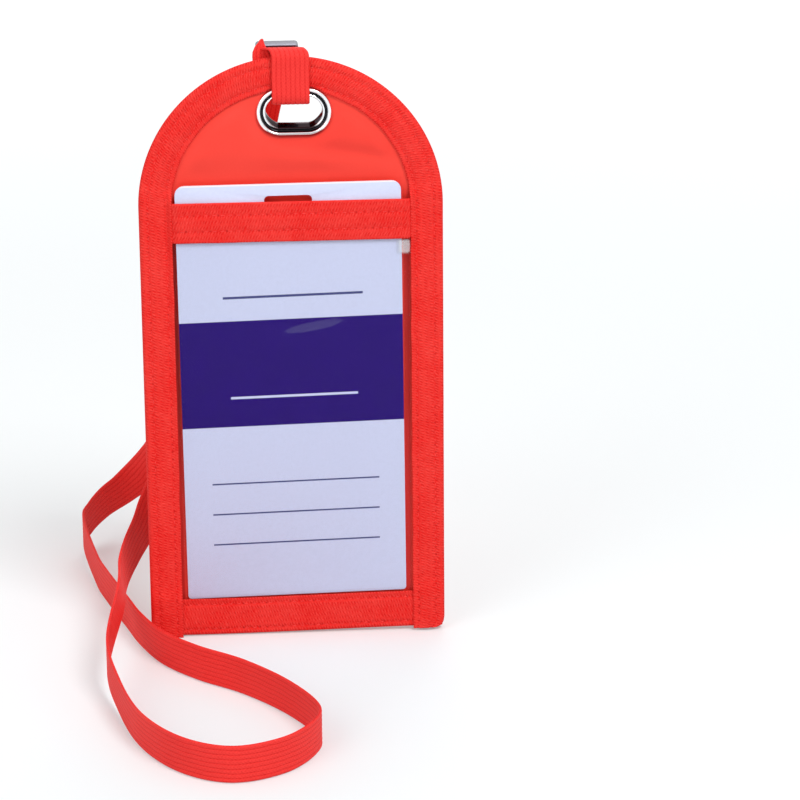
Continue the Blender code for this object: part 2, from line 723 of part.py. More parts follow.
looks = {
    "panel": material("smooth red sheet", (0.9, 0.06, 0.045), 0.45),
    "nonwoven": material("red nonwoven", (0.75, 0.04, 0.035), 0.8),
    "binding": material("red binding tape", (0.85, 0.04, 0.035), 0.75),
    "strap": material("red strap", (0.85, 0.04, 0.035), 0.6),
    "vinyl": material("clear vinyl", (0.9, 0.92, 0.95), 0.1, alpha=0.3),
    "net": material("black net", (0.01, 0.01, 0.015), 0.5),
    "card": material("white card", (0.62, 0.66, 0.85), 0.4),
    "chrome": material("chromed steel", (0.8, 0.8, 0.82), 0.1, metallic=1.0),
    "steel": material("plated steel", (0.45, 0.48, 0.56), 0.35, metallic=1.0),
}

held_frame = empty("held_frame", (0.0, 0.0, 0.0))
held_frame.location = (0.0, -crimp_back, -crimp_level)
crimp_grip = empty("crimp_grip", (0.0, crimp_back, crimp_level), held_frame)
swing_axis = empty("swing_axis", (0.0, swing_back, swing_level), held_frame)
card_guide = empty("card_guide", (0.0, card_back_at_foot, card_foot), swing_axis)

make_panels(swing_axis)
make_window(swing_axis)
make_pen_pocket(swing_axis)
make_net_pocket(swing_axis)
make_bottom_binding(swing_axis)
make_edge_binding(swing_axis)
make_eyelet(swing_axis)
make_loop(swing_axis)
make_card(card_guide)
make_crimp(crimp_grip)
make_lanyard(crimp_grip)
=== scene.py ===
# Looks for a neck badge holder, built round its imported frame. All lengths are in metres.
# Pieces are drawn in the pouch's own coordinates (zero at the middle of its bottom edge)
# and then moved, in their meshes, to the frame's, whose zero is level with the crimp.

import math

import bmesh
import bpy
from mathutils import Matrix, Vector, noise


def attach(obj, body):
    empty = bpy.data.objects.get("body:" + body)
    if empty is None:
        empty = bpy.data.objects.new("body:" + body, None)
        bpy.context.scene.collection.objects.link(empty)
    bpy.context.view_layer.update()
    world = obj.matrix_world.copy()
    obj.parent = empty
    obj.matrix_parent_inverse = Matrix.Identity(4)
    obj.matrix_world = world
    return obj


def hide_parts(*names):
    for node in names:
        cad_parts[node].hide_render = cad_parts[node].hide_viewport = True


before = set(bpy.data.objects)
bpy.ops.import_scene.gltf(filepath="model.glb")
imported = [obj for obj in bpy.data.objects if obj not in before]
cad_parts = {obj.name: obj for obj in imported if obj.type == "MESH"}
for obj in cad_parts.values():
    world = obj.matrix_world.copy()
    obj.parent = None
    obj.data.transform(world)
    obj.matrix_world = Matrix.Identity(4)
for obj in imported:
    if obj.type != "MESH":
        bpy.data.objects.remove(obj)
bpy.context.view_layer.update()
pi = math.pi
toFrame = Vector((0.0, -0.0089, -0.2039))
print("frame loaded:", len(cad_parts), "nodes")

# camera, at the photograph's angle

cameraSet = {
    "lens": 155.32,
    "sensor": 36.0,
    "near": 0.05,
    "far": 20.0,
    "distance": 1.1669,
    "pitch": 0.312683,
    "yaw": 0.060133,
    "roll": 0.0081515,
    "aside": -0.035833,
    "above": 0.015230,
    "aim": (0.0, 0.0, 0.1),
}


def makeCamera():
    pitch, roll = cameraSet["pitch"], cameraSet["roll"]
    right = Vector((1.0, 0.0, 0.0))
    ahead = Vector((0.0, math.cos(pitch), -math.sin(pitch)))
    up = Vector((0.0, math.sin(pitch), math.cos(pitch)))
    place = -cameraSet["aside"] * right - cameraSet["above"] * up - cameraSet["distance"] * ahead
    right, up = math.cos(roll) * right - math.sin(roll) * up, math.sin(roll) * right + math.cos(roll) * up
    turn = Matrix.Rotation(-cameraSet["yaw"], 3, "Z")  # the pouch is turned a little to the camera
    axes = Matrix([turn @ right, turn @ up, turn @ -ahead]).transposed()
    bpy.ops.object.camera_add()
    cam = bpy.context.object
    cam.name = "camera"
    cam.data.lens = cameraSet["lens"]
    cam.data.sensor_width = cameraSet["sensor"]
    cam.data.clip_start = cameraSet["near"]
    cam.data.clip_end = cameraSet["far"]
    spot = turn @ place + Vector(cameraSet["aim"]) + toFrame
    cam.matrix_world = Matrix.Translation(spot) @ axes.to_4x4()
    bpy.context.scene.camera = cam


makeCamera()
print("camera placed")

# small tools for meshes


def clamp(share):
    return min(1.0, max(0.0, share))


def smoothStep(share):
    share = clamp(share)
    return share * share * (3 - 2 * share)


def bell(x, middle, width):
    return math.exp(-(((x - middle) / width) ** 2))


def ramp(value, span):
    # span: where it starts, and over how far it eases from nothing to one; negative runs down
    start, over = span
    return smoothStep((value - start) / over)


def waved(x, z, *waves):
    # smooth random waves, each with its height, length and seed
    return sum(high * noise.noise(Vector((x / long, z / long, seed))) for high, long, seed in waves)


def steps(start, end, size):
    count = max(1, round(abs(end - start) / size))
    return [start + (end - start) * i / count for i in range(count + 1)]


cornerSet = {"rise": 0.0010, "beside": (-0.030, 0.080), "above": (0.0, 0.070)}


def settle(obj, body, look, replaced=None):
    # moves a mesh from the pouch's coordinates to the frame's and hands it over
    obj.data.transform(obj.matrix_world)
    obj.matrix_world = Matrix.Identity(4)
    if body != "strap":  # the pouch's lower right corner stands a little off the floor
        for v in obj.data.vertices:
            beside = ramp(v.co.x, cornerSet["beside"])
            v.co.z += cornerSet["rise"] * beside * (1 - ramp(v.co.z, cornerSet["above"]))
    obj.data.transform(Matrix.Translation(toFrame))
    obj.data.materials.clear()
    obj.data.materials.append(look)
    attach(obj, body)
    if replaced:
        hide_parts(replaced)


def placed(name, data):
    obj = bpy.data.objects.new(name, data)
    bpy.context.scene.collection.objects.link(obj)
    return obj


def smoothFaces(obj):
    for poly in obj.data.polygons:
        poly.use_smooth = True


def meshFrom(name, points, faces, uvs=None, seams=None):
    data = bpy.data.meshes.new(name)
    data.from_pydata([tuple(p) for p in points], [], faces)
    for mapName, places in (("UVMap", uvs), ("seamMap", seams)):
        if places is not None:
            layer = data.uv_layers.new(name=mapName)
            flat = []
            for loop in data.loops:
                flat.extend(places[loop.vertex_index])
            layer.data.foreach_set("uv", flat)
    data.validate()
    obj = placed(name, data)
    smoothFaces(obj)
    return obj


def objectFrom(name, shape):
    data = bpy.data.meshes.new(name)
    shape.to_mesh(data)
    shape.free()
    return placed(name, data)


def addWall(obj, thick):
    wall = obj.modifiers.new("wall", "SOLIDIFY")
    wall.thickness = thick
    wall.offset = 0.0


def addRounding(obj, width):
    edge = obj.modifiers.new("edge", "BEVEL")
    edge.width = width
    edge.segments = 2
    edge.limit_method = "ANGLE"
    edge.angle_limit = pi / 4


def addSmoothing(obj):
    smooth = obj.modifiers.new("smooth", "SUBSURF")
    smooth.levels = smooth.render_levels = 1


def applyAll(obj):
    bpy.ops.object.select_all(action="DESELECT")
    bpy.context.view_layer.objects.active = obj
    obj.select_set(True)
    for modifier in list(obj.modifiers):
        bpy.ops.object.modifier_apply(modifier=modifier.name)


def outward(obj):
    # turns a closed mesh's faces outwards
    shape = bmesh.new()
    shape.from_mesh(obj.data)
    bmesh.ops.recalc_face_normals(shape, faces=shape.faces)
    if shape.calc_volume(signed=True) < 0:
        bmesh.ops.reverse_faces(shape, faces=shape.faces)
    shape.to_mesh(obj.data)
    shape.free()


def sheetPiece(name, xs, zs, surface, thick, keep=None):
    # a cloth sheet over a grid in x and z, surface giving its middle's y
    index = {}
    points, uvs, faces = [], [], []
    for row, z in enumerate(zs):
        for column, x in enumerate(xs):
            index[row, column] = len(points)
            points.append(Vector((x, surface(x, z), z)))
            uvs.append((x, z))
    for row in range(len(zs) - 1):
        for column in range(len(xs) - 1):
            x = (xs[column] + xs[column + 1]) / 2
            z = (zs[row] + zs[row + 1]) / 2
            if keep is None or keep(x, z):
                corners = [(row, column), (row, column + 1), (row + 1, column + 1), (row + 1, column)]
                faces.append([index[c] for c in corners])
    obj = meshFrom(name, points, faces, uvs)
    shape = bmesh.new()
    shape.from_mesh(obj.data)
    bmesh.ops.delete(shape, geom=[v for v in shape.verts if not v.link_faces], context="VERTS")
    shape.to_mesh(obj.data)
    shape.free()
    addWall(obj, thick)
    applyAll(obj)
    return obj


def bandFaces(stations, count):
    # faces of a closed band: each station has count points on one side and the same on the other
    ring = 2 * count
    faces = []
    for s in range(stations - 1):
        for i in range(ring):
            j = (i + 1) % ring
            faces.append([s * ring + i, s * ring + j, (s + 1) * ring + j, (s + 1) * ring + i])
    last = (stations - 1) * ring
    for i in range(count - 1):
        for end in (0, last):
            faces.append([end + i, end + i + 1, end + ring - 2 - i, end + ring - 1 - i])
    return faces


def roundedRim(inside, width, least):
    # the share of its thickness that a band keeps near its edges
    return least + (1 - least) * math.sqrt(max(0.0, 1 - (1 - min(1.0, inside / width)) ** 2))


def foldedTape(name, stations, profileAt, thick):
    # stations: (length along, direction); a profile's rows: (point, distance across, from a seam)
    points, uvs, seams = [], [], []
    for along, ahead in stations:
        profile = profileAt(along)
        middle = [row[0] for row in profile]
        across = [row[1] for row in profile]
        seams.extend((row[2], along) for row in profile)
        seams.extend((row[2], along) for row in reversed(profile))
        sides = []
        for i in range(len(profile)):
            run = middle[min(i + 1, len(profile) - 1)] - middle[max(i - 1, 0)]
            inside = min(across[i] - across[0], across[-1] - across[i])
            share = roundedRim(inside, tapeSet["rim"], tapeSet["rimLeast"])
            sides.append(run.cross(ahead).normalized() * (thick / 2 * share))
        points.extend(p + side for p, side in zip(middle, sides))
        points.extend(p - side for p, side in zip(reversed(middle), reversed(sides)))
        uvs.extend((a, along) for a in across)
        uvs.extend((a, along) for a in reversed(across))
    obj = meshFrom(name, points, bandFaces(len(stations), len(profile)), uvs, seams)
    outward(obj)
    return obj


def seamGap(place, rowA, rowB):
    # zero at both rows of stitches and never between them
    return (place - rowA) * (place - rowB) / (rowB - rowA)


def tapeRows(points, gapAt):
    # a folded tape's profile from its points: how far across each lies, and how far from a seam
    rows, across = [], 0.0
    for i, (p, place) in enumerate(points):
        if i:
            across += (p - points[i - 1][0]).length
        rows.append((p, across, gapAt(place)))
    return rows


print("mesh tools ready")

# shader tools


class Shade:
    # a socket that can stand in arithmetic
    def __init__(self, tree, socket=None):
        self.tree = tree
        self.socket = socket

    def node(self, kind, settings=None, sockets=None, out=0):
        made = self.tree.nodes.new(kind)
        for key, value in (settings or {}).items():
            setattr(made, key, value)
        for key, value in (sockets or {}).items():
            if isinstance(value, Shade):
                self.tree.links.new(value.socket, made.inputs[key])
            else:
                made.inputs[key].default_value = value
        return Shade(self.tree, made.outputs[out])

    def maths(self, operation, *values):
        return self.node("ShaderNodeMath", {"operation": operation}, dict(enumerate(values)))

    def __add__(self, other):
        return self.maths("ADD", self, other)

    def __sub__(self, other):
        return self.maths("SUBTRACT", self, other)

    def __rsub__(self, other):
        return self.maths("SUBTRACT", other, self)

    def __mul__(self, other):
        return self.maths("MULTIPLY", self, other)

    def __truediv__(self, other):
        return self.maths("DIVIDE", self, other)

    def __rtruediv__(self, other):
        return self.maths("DIVIDE", other, self)

    def __pow__(self, other):
        return self.maths("POWER", self, other)

    __radd__ = __add__
    __rmul__ = __mul__

    def cosine(self):
        return self.maths("COSINE", self)

    def size(self):
        return self.maths("ABSOLUTE", self)

    def atLeast(self, low):
        return self.maths("MAXIMUM", self, low)

    def atMost(self, high):
        return self.maths("MINIMUM", self, high)

    def eased(self, low, high):
        settings = {"interpolation_type": "SMOOTHSTEP"}
        return self.node("ShaderNodeMapRange", settings, {0: self, 1: low, 2: high, 3: 0.0, 4: 1.0})

    def tint(self, low, high):
        # colour low where this is 0 and high where it is 1
        settings = {"data_type": "RGBA"}
        sockets = {0: self, 6: asColour(low), 7: asColour(high)}
        return self.node("ShaderNodeMix", settings, sockets, out=2)

    def xyz(self):
        return [self.node("ShaderNodeSeparateXYZ", {}, {0: self}, out=i) for i in range(3)]

    def grain(self, scale, detail, rough):
        sockets = {"Vector": self, "Scale": scale, "Detail": detail, "Roughness": rough}
        return self.node("ShaderNodeTexNoise", {}, sockets)

    def raised(self, distance, strength=1.0, under=None):
        sockets = {"Strength": strength, "Distance": distance, "Height": self}
        if under is not None:
            sockets["Normal"] = under
        return self.node("ShaderNodeBump", {}, sockets)


def asColour(value):
    return value if isinstance(value, Shade) else (*value, 1.0)


def scaled(colour, share):
    return [c * share for c in colour]


def distance(across, up):
    return (across * across + up * up) ** 0.5


def newLook(name, **plain):
    made = bpy.data.materials.new(name)
    made.use_nodes = True
    shader = made.node_tree.nodes["Principled BSDF"]
    for key, value in plain.items():
        socket = shader.inputs[key.replace("_", " ")]
        socket.default_value = (*value, 1.0) if hasattr(value, "__len__") else value
    return made, Shade(made.node_tree), shader


def feed(look, shader, *values):
    # links a colour, a roughness and a normal, as many as there are
    for name, value in zip(("Base Color", "Roughness", "Normal"), values):
        look.node_tree.links.new(value.socket, shader.inputs[name])


def madeLook(name, placeAt, recipe, **plain):
    look, shade, shader = newLook(name, **plain)
    feed(look, shader, *recipe(placeAt(shade)))
    return look


def finishWith(look, last):
    look.node_tree.links.new(last.socket, look.node_tree.nodes["Material Output"].inputs["Surface"])


def uvOf(shade):
    return shade.node("ShaderNodeTexCoord", out="UV")


def placeOf(shade):
    return shade.node("ShaderNodeTexCoord", out="Object")


def seenDirectly(shade):
    # one for rays from the camera, mirrors and clear sheets, and zero for light on the object
    kinds = ("Is Camera Ray", "Is Glossy Ray", "Is Transmission Ray")
    camera, mirror, clear = [shade.node("ShaderNodeLightPath", out=kind) for kind in kinds]
    return (camera + mirror + clear).atMost(1.0)


# the pouch's sizes, the same as the frame's

pouchSet = {
    "half": 0.0508,
    "archZ": 0.1524,
    "bindWide": 0.011,
    "bindThick": 0.0006,
    "frontPanel": -0.0004,
    "backPanel": 0.00045,
    "windowFlat": -0.0011,
    "penFlat": 0.0013,
    "seam": 0.0372,
    "eyeletX": 0.0015,
    "eyeletZ": 0.1846,
    "holeLong": 0.0190,
    "holeTall": 0.0102,
}
cardFrame = {
    "foot": 0.0155, "backAtFoot": -0.00095, "lean": 2.6 / 174.2, "thick": 0.0006,
    "low": 0.0140, "high": 0.1610, "half": 0.0376, "middle": (-0.0006, 0.087), "turn": 0.0061,
    "corner": 0.0032, "lowCorner": 0.0012, "edge": 0.00008, "cut": 0.012,
    "slotHalf": 0.0080, "slotTall": 0.0032, "slotDrop": 0.0041, "slotRound": 0.999,
}

# looks

redSet = {
    "panel": (1.0, 0.061, 0.040),
    # panelDeep also colours the painted shade along the panel's fold
    "panelDeep": (0.90, 0.036, 0.022),
    "tape": (0.99, 0.070, 0.056),
    "tapeDeep": (0.84, 0.008, 0.006),
    # hole colours the needle holes, and also the painted shadow under the eyelet and the painted shade
    # beside the card
    "hole": (0.60, 0.008, 0.007),
    "cloth": (0.96, 0.040, 0.030),
    "clothDeep": (0.60, 0.008, 0.007),
    "strap": (0.99, 0.048, 0.040),
    "strapDeep": (0.80, 0.014, 0.012),
    "thread": (0.98, 0.050, 0.040),
}
clothSet = {  # each grain here and below: its scale, detail and roughness
    "dimplePitch": 0.0013, "dimpleEdge": (0.25, 0.85), "dimpleDepth": 0.00022, "rough": 0.70,
    "fibre": (900.0, 4.0, 0.65), "broad": (38.0, 3.0, 0.5),
}


def aroundHole(x, z):
    # how far out from the eyelet's hole, and how far below its middle
    straight = (pouchSet["holeLong"] - pouchSet["holeTall"]) / 2
    beside = ((x - pouchSet["eyeletX"]).size() - straight).atLeast(0.0)
    level = z - pouchSet["eyeletZ"]
    return distance(beside, level) - pouchSet["holeTall"] / 2, 0.0 - level


def clothLook(where):
    # spun cloth with staggered pressed dimples
    x, z, _ = where.xyz()
    k = pi / clothSet["dimplePitch"]
    dimple = ((x * k).cosine() * (z * k).cosine()).eased(*clothSet["dimpleEdge"])
    fibre = where.grain(*clothSet["fibre"])
    broad = where.grain(*clothSet["broad"])
    deep = dimple * 0.62 + fibre.eased(0.62, 0.35) * 0.26 + broad.eased(0.7, 0.3) * 0.14
    colour = deep.atMost(1.0).tint(redSet["cloth"], redSet["clothDeep"])
    height = fibre * 0.35 - dimple
    return colour, clothSet["rough"] + fibre * 0.18, height.raised(clothSet["dimpleDepth"], 0.8)


tapeSet = {
    "weavePitch": 0.00098, "columnPitch": 0.0018, "lean": 0.35, "weaveDepth": 0.00016,
    "warp": (520.0, 2.0, 0.6), "slant": (150.0, 2.0, 0.5), "fibre": (1000.0, 4.0, 0.7),
    "broad": (60.0, 3.0, 0.55), "worn": (210.0, 3.0, 0.6), "rough": 0.70,
    "stitchPitch": 0.0027, "holeHalf": 0.00032, "rim": 0.0006, "rimLeast": 0.15,
}


def tapeLook(where):
    # binding tape: rows of small pressed knots, a fibrous grain and needle holes along its seams
    across, along, _ = where.xyz()
    k = 2 * pi / tapeSet["weavePitch"]
    warp = where.grain(*tapeSet["warp"]) - 0.5
    slant = where.grain(*tapeSet["slant"]) - 0.5
    tick = (along * k - across * (k * tapeSet["lean"]) + warp * 8.0 + slant * 6.0).cosine()
    column = (across * (2 * pi / tapeSet["columnPitch"]) + warp * 5.0 + slant * 4.0).cosine()
    knot = (tick * 0.5 + tick * column * 0.5).eased(-0.7, 0.7)
    fibre = where.grain(*tapeSet["fibre"])
    broad = where.grain(*tapeSet["broad"])
    worn = where.grain(*tapeSet["worn"])
    gap, run, _ = where.node("ShaderNodeUVMap", {"uv_map": "seamMap"}).xyz()
    near = 1.0 - gap.size().eased(tapeSet["holeHalf"] * 0.5, tapeSet["holeHalf"] * 1.8)
    sewn = (run * (2 * pi / tapeSet["stitchPitch"])).cosine()
    hole = near * sewn.eased(0.5, 0.95) * worn.eased(0.42, 0.58)
    deep = (1.0 - knot) * 0.54 + fibre.eased(0.64, 0.36) * 0.26 + broad.eased(0.68, 0.32) * 0.20
    deep = (deep + worn.eased(0.7, 0.35) * 0.16 + near * 0.14).atMost(1.0)
    colour = (hole * 0.6).tint(deep.tint(redSet["tape"], redSet["tapeDeep"]), redSet["hole"])
    height = fibre * 0.35 + knot * 0.9 - hole * 0.6
    return colour, tapeSet["rough"] + fibre * 0.2, height.raised(tapeSet["weaveDepth"], 0.9)


strapSet = {
    "width": 0.0125, "thick": 0.0009, "ribs": 8, "samples": 4, "ribDepth": 0.15,
    "rim": 0.00055, "rimLeast": 0.25, "step": 0.0018, "loopStep": 0.0007, "foldStep": 0.0004,
    "spanSteps": 24, "twistStart": 0.020, "twistEnd": (0.150, 0.270), "ringsInCrimp": 5,
    "stitch": 0.00115, "stitchLean": 0.00045, "wanderAcross": 0.0009, "wanderAlong": 0.0008,
    "loose": (150.0, 3.0, 0.6), "fibre": (1400.0, 3.0, 0.6), "broad": (45.0, 2.0, 0.5),
    "rough": 0.55, "depth": 0.00012,
}
ribPitch = strapSet["width"] / strapSet["ribs"]


def strapLook(where):
    # knitted strap: lengthwise ribs with painted shade in the grooves between them, and small slanting
    # stitches on them
    across, along, _ = where.xyz()
    wander = where.grain(*strapSet["loose"]) - 0.5
    rib = ((across + wander * strapSet["wanderAcross"]) * (2 * pi / ribPitch)).cosine()
    groove = rib.eased(0.45, 1.0)
    slanted = along + rib * strapSet["stitchLean"] + wander * strapSet["wanderAlong"]
    gap = (slanted * (2 * pi / strapSet["stitch"])).cosine().eased(0.0, 1.0)
    fibre = where.grain(*strapSet["fibre"])
    broad = where.grain(*strapSet["broad"])
    # the groove share is painted shade in the grooves between the ribs
    deep = groove * 0.52 + gap * 0.26 + fibre.eased(0.65, 0.35) * 0.2 + broad.eased(0.7, 0.3) * 0.12
    colour = deep.atMost(1.0).tint(redSet["strap"], redSet["strapDeep"])
    height = fibre * 0.25 - gap * 0.3 - groove * 0.5
    return colour, strapSet["rough"] + fibre * 0.15, height.raised(strapSet["depth"], 0.9)


windowSet = {
    "film": (0.30, 0.303, 0.31),
    # colour of the painted glint and the painted arc of reflection
    "glintColour": (0.97, 0.98, 1.0),
    "clear": (0.995, 0.995, 1.0),
    "bend": 1.45,
    "mirror": 0.15,
    "scuff": 0.010,
    "scuffs": (120.0, 4.0, 0.6),
    "scuffEdge": (0.60, 0.82),
    "wave": (34.0, 2.0, 0.4),
    "waveDepth": 0.0008,
    "fine": (160.0, 2.0, 0.5),
    "rough": 0.06,
    # a painted glint patch and a painted arc of reflection on the sheet
    "glint": {"x": 0.0380, "z": 0.1385, "wide": 0.0028, "tall": 0.0025, "share": 0.27},
    "arc": {"x": 0.0068, "z": 0.1113, "wide": 0.0108, "tall": 0.0018, "slope": 0.18, "share": 0.015},
    # where the painted shade beside the card lies
    "creaseShade": 0.0391,
    "creaseShadeHalf": 0.0014,
    "askew": 0.0007,
    "creaseShadeTop": 0.1420,
    "creaseShadeEnd": 0.001,
}
panelSet = {
    "cell": 0.0011, "edge": 0.0016, "holeEdge": 0.0011, "frontThick": 0.0005, "backThick": 0.0006,
    "half": 0.0495, "low": 0.0012, "high": 0.2018,
    "open": (0.163, 0.008), "free": (0.0392, -0.005), "rim": (0.0032, 0.005),
    # eyeletShadow and eyeletShadowBelow: where the painted shadow under the eyelet reaches
    "swell": 0.0010, "proud": 0.00008, "soft": (0.0005, 0.016, 3.0), "eyeletShadow": (0.0031, 0.0040),
    "eyeletShadowBelow": 0.006, "fold": 0.0010, "foldWide": 0.0030, "foldHigh": 0.1735, "foldSlope": 0.17,
    "foldShade": (-0.002, 0.003, 0.013), "foldStart": (-0.012, 0.014),
    "backOpen": (0.150, 0.010), "backSoft": (0.00012, 0.020, 7.0), "backProud": 0.0001,
    "fine": (1500.0, 2.0, 0.5), "broad": (26.0, 3.0, 0.5), "rough": 0.40,
    "fineDepth": 0.00003, "broadDepth": 0.0006,
}


def shadeBesideCard(x):
    # one in the painted shade where the window's sheet goes down beside the card
    away = ((x + windowSet["askew"]).size() - windowSet["creaseShade"]).size()
    return 1.0 - away.eased(windowSet["creaseShadeHalf"] * 0.4, windowSet["creaseShadeHalf"])


def panelLook(where):
    # smooth sheet with a very fine grain, painted shade along a soft fold, a painted shadow under the
    # eyelet, and painted shade beside the card
    fine = where.grain(*panelSet["fine"])
    broad = where.grain(*panelSet["broad"])
    x, z, _ = where.xyz()
    out, below = aroundHole(x, z)
    # painted shadow under the eyelet's rim
    eyeletShadow = (1.0 - out.eased(*panelSet["eyeletShadow"])) * below.eased(0.0, panelSet["eyeletShadowBelow"])
    # painted shade along the fold, darkest just above its line and fading upwards
    over = z - (panelSet["foldHigh"] - x * panelSet["foldSlope"])
    low, crest, high = panelSet["foldShade"]
    fold = over.eased(low, crest) * (1.0 - over.eased(crest, high))
    start, along = panelSet["foldStart"]
    fold = fold * (x - start).eased(0.0, along)
    deep = (broad.eased(0.7, 0.3) * 0.30 + fine.eased(0.7, 0.3) * 0.10).atMost(1.0)
    deep = (deep + fold * 0.30).atMost(1.0)
    # painted shade beside the card, below the hem
    creaseShade = (windowSet["creaseShadeTop"] - z).eased(0.0, windowSet["creaseShadeEnd"]) * (0.45 + broad * 0.5)
    creaseShade = creaseShade * shadeBesideCard(x)
    colour = deep.tint(redSet["panel"], redSet["panelDeep"])
    colour = (eyeletShadow + creaseShade).atMost(1.0).tint(colour, redSet["hole"])
    soft = broad.raised(panelSet["broadDepth"], 0.25)
    return colour, panelSet["rough"] + broad * 0.16, fine.raised(panelSet["fineDepth"], 0.5, soft)


threadSet = {"ply": (2600.0, 2.0, 0.5), "edge": (0.35, 0.65), "rough": 0.42}


def threadLook(where):
    ply = where.grain(*threadSet["ply"])
    colour = ply.eased(*threadSet["edge"]).tint(redSet["strapDeep"], redSet["thread"])
    return colour, threadSet["rough"] + ply * 0.2


def vinylLook():
    # clear sheet: see-through, with a faint mirror-like surface that is a little wavy and scuffed, a painted
    # glint, a painted arc of reflection, and less reflection, as painted shade, beside the card
    look, shade, shader = newLook("clearVinyl", Metallic=1.0)
    where = uvOf(shade)
    wave = where.grain(*windowSet["wave"])
    fine = where.grain(*windowSet["fine"])
    normal = wave.raised(windowSet["waveDepth"], 0.25)
    scuff = where.grain(*windowSet["scuffs"]).eased(*windowSet["scuffEdge"])
    edge = shade.node("ShaderNodeFresnel", {}, {"IOR": windowSet["bend"], "Normal": normal})
    x, z, _ = where.xyz()
    spot, arc = windowSet["glint"], windowSet["arc"]
    # painted glint at the sheet's upper right corner
    glint = 1.0 - (x - spot["x"]).size().eased(spot["wide"] * 0.6, spot["wide"] * 1.3)
    glint = glint * (1.0 - (z - spot["z"]).size().eased(spot["tall"] * 0.7, spot["tall"] * 1.2))
    # painted arc of reflection along the top of the card's band
    beside = x - arc["x"]
    above = (z - arc["z"] - beside * arc["slope"]) / arc["tall"]
    glintArcMask = 1.0 - distance(beside / arc["wide"], above).eased(0.8, 1.05)
    # less reflection beside the card, as painted shade
    sheen = (edge * windowSet["mirror"] + scuff * windowSet["scuff"]) * (1.0 - shadeBesideCard(x) * 0.9)
    factor = (sheen + glint * spot["share"] + glintArcMask * arc["share"]).atMost(1.0)
    colour = (glint + glintArcMask).atMost(1.0).tint(windowSet["film"], windowSet["glintColour"])
    feed(look, shader, colour, windowSet["rough"] + fine * 0.05, normal)
    clear = shade.node("ShaderNodeBsdfTransparent", {}, {"Color": asColour(windowSet["clear"])})
    sheen = Shade(look.node_tree, shader.outputs[0])
    finishWith(look, shade.node("ShaderNodeMixShader", {}, {0: factor, 1: clear, 2: sheen}))
    return look


cardSet = {
    "paper": (0.71, 0.755, 0.98),
    "rim": (0.90, 0.88, 0.95),
    "rimWide": 0.0006,
    "band": (0.024, 0.004, 0.185),
    "ink": (0.075, 0.085, 0.24),
    "bandLow": 0.0765,
    "bandHigh": 0.1140,
    "slope": 0.0215,
    "edge": 0.00012,
    "fibre": (900.0, 4.0, 0.6),
    "mottle": (90.0, 2.0, 0.5),
    "rough": 0.42,
    "depth": 0.00001,
    "lines": [
        {"z": 0.1222, "half": 0.0235, "thick": 0.00085, "tone": "ink"},
        {"z": 0.0868, "half": 0.0215, "thick": 0.00085, "tone": "paper"},
        {"z": 0.0560, "half": 0.0285, "thick": 0.00055, "tone": "ink"},
        {"z": 0.0450, "half": 0.0285, "thick": 0.00055, "tone": "ink"},
        {"z": 0.0340, "half": 0.0285, "thick": 0.00055, "tone": "ink"},
    ],
}


def cardLook(where):
    # a plain card, printed alike on both sides: one dark band and ruled lines to write on
    x, _, z = where.xyz()
    soft = cardSet["edge"]
    up = z - toFrame.z - x * cardSet["slope"]  # back to the pouch's height, the print a little askew
    level = z - toFrame.z - x * cardFrame["turn"]
    fibre = where.grain(*cardSet["fibre"])
    mottle = where.grain(*cardSet["mottle"])
    paper = fibre.eased(0.3, 0.7).tint(scaled(cardSet["paper"], 0.965), cardSet["paper"])
    band = mottle.eased(0.3, 0.7).tint(scaled(cardSet["band"], 0.97), scaled(cardSet["band"], 1.03))
    inBand = (up - cardSet["bandLow"]).eased(-soft, soft) * (cardSet["bandHigh"] - up).eased(-soft, soft)
    rim = (level - (cardFrame["high"] - cardSet["rimWide"])).eased(0.0, soft * 2)
    colour = inBand.tint(rim.tint(paper, cardSet["rim"]), band)
    for line in cardSet["lines"]:
        inside = (line["thick"] / 2 - (up - line["z"]).size()).eased(-soft / 2, soft / 2)
        inside = inside * (line["half"] - x.size()).eased(-soft, soft)
        colour = inside.tint(colour, cardSet[line["tone"]])
    return colour, cardSet["rough"] + fibre * 0.1, fibre.raised(cardSet["depth"], 0.2)


metalSet = {
    "smear": (420.0, 4.0, 0.6),
    "fine": (3200.0, 3.0, 0.6),
    "steel": (0.17, 0.17, 0.215),
    "steelRough": 0.34,
    "steelDepth": 0.00005,
    "chrome": (0.92, 0.93, 0.95),
    # the crease, barrel and foot colours are painted shade, the foot's a painted shadow below the ring
    "creaseShade": (0.022, 0.020, 0.023),
    "barrel": (0.045, 0.030, 0.034),
    "foot": (0.30, 0.03, 0.025),
    "chromeRough": 0.07,
    "chromeDepth": 0.00003,
}
# where each part of the eyelet's painted shade begins or ends
eyeletReach = {  # from where to where each dark part begins or ends
    "creaseShade": (0.00066, 0.00092), "creaseShadeEnd": (0.00150, 0.00190),
    "back": (-0.0013, -0.0007), "barrelEnd": (0.0002, 0.0005),
    "low": (0.0036, 0.0052), "lowEnd": (0.0008, 0.0012),
    "foot": (0.0052, 0.0066), "footFrom": (0.0021, 0.0026),
}


def steelLook(where):
    smear = where.grain(*metalSet["smear"])
    fine = where.grain(*metalSet["fine"])
    rough = metalSet["steelRough"] + smear.eased(0.4, 0.8) * 0.08 + fine * 0.03
    colour = smear.tint(scaled(metalSet["steel"], 0.86), metalSet["steel"])
    return colour, rough, smear.raised(metalSet["steelDepth"], 0.3)


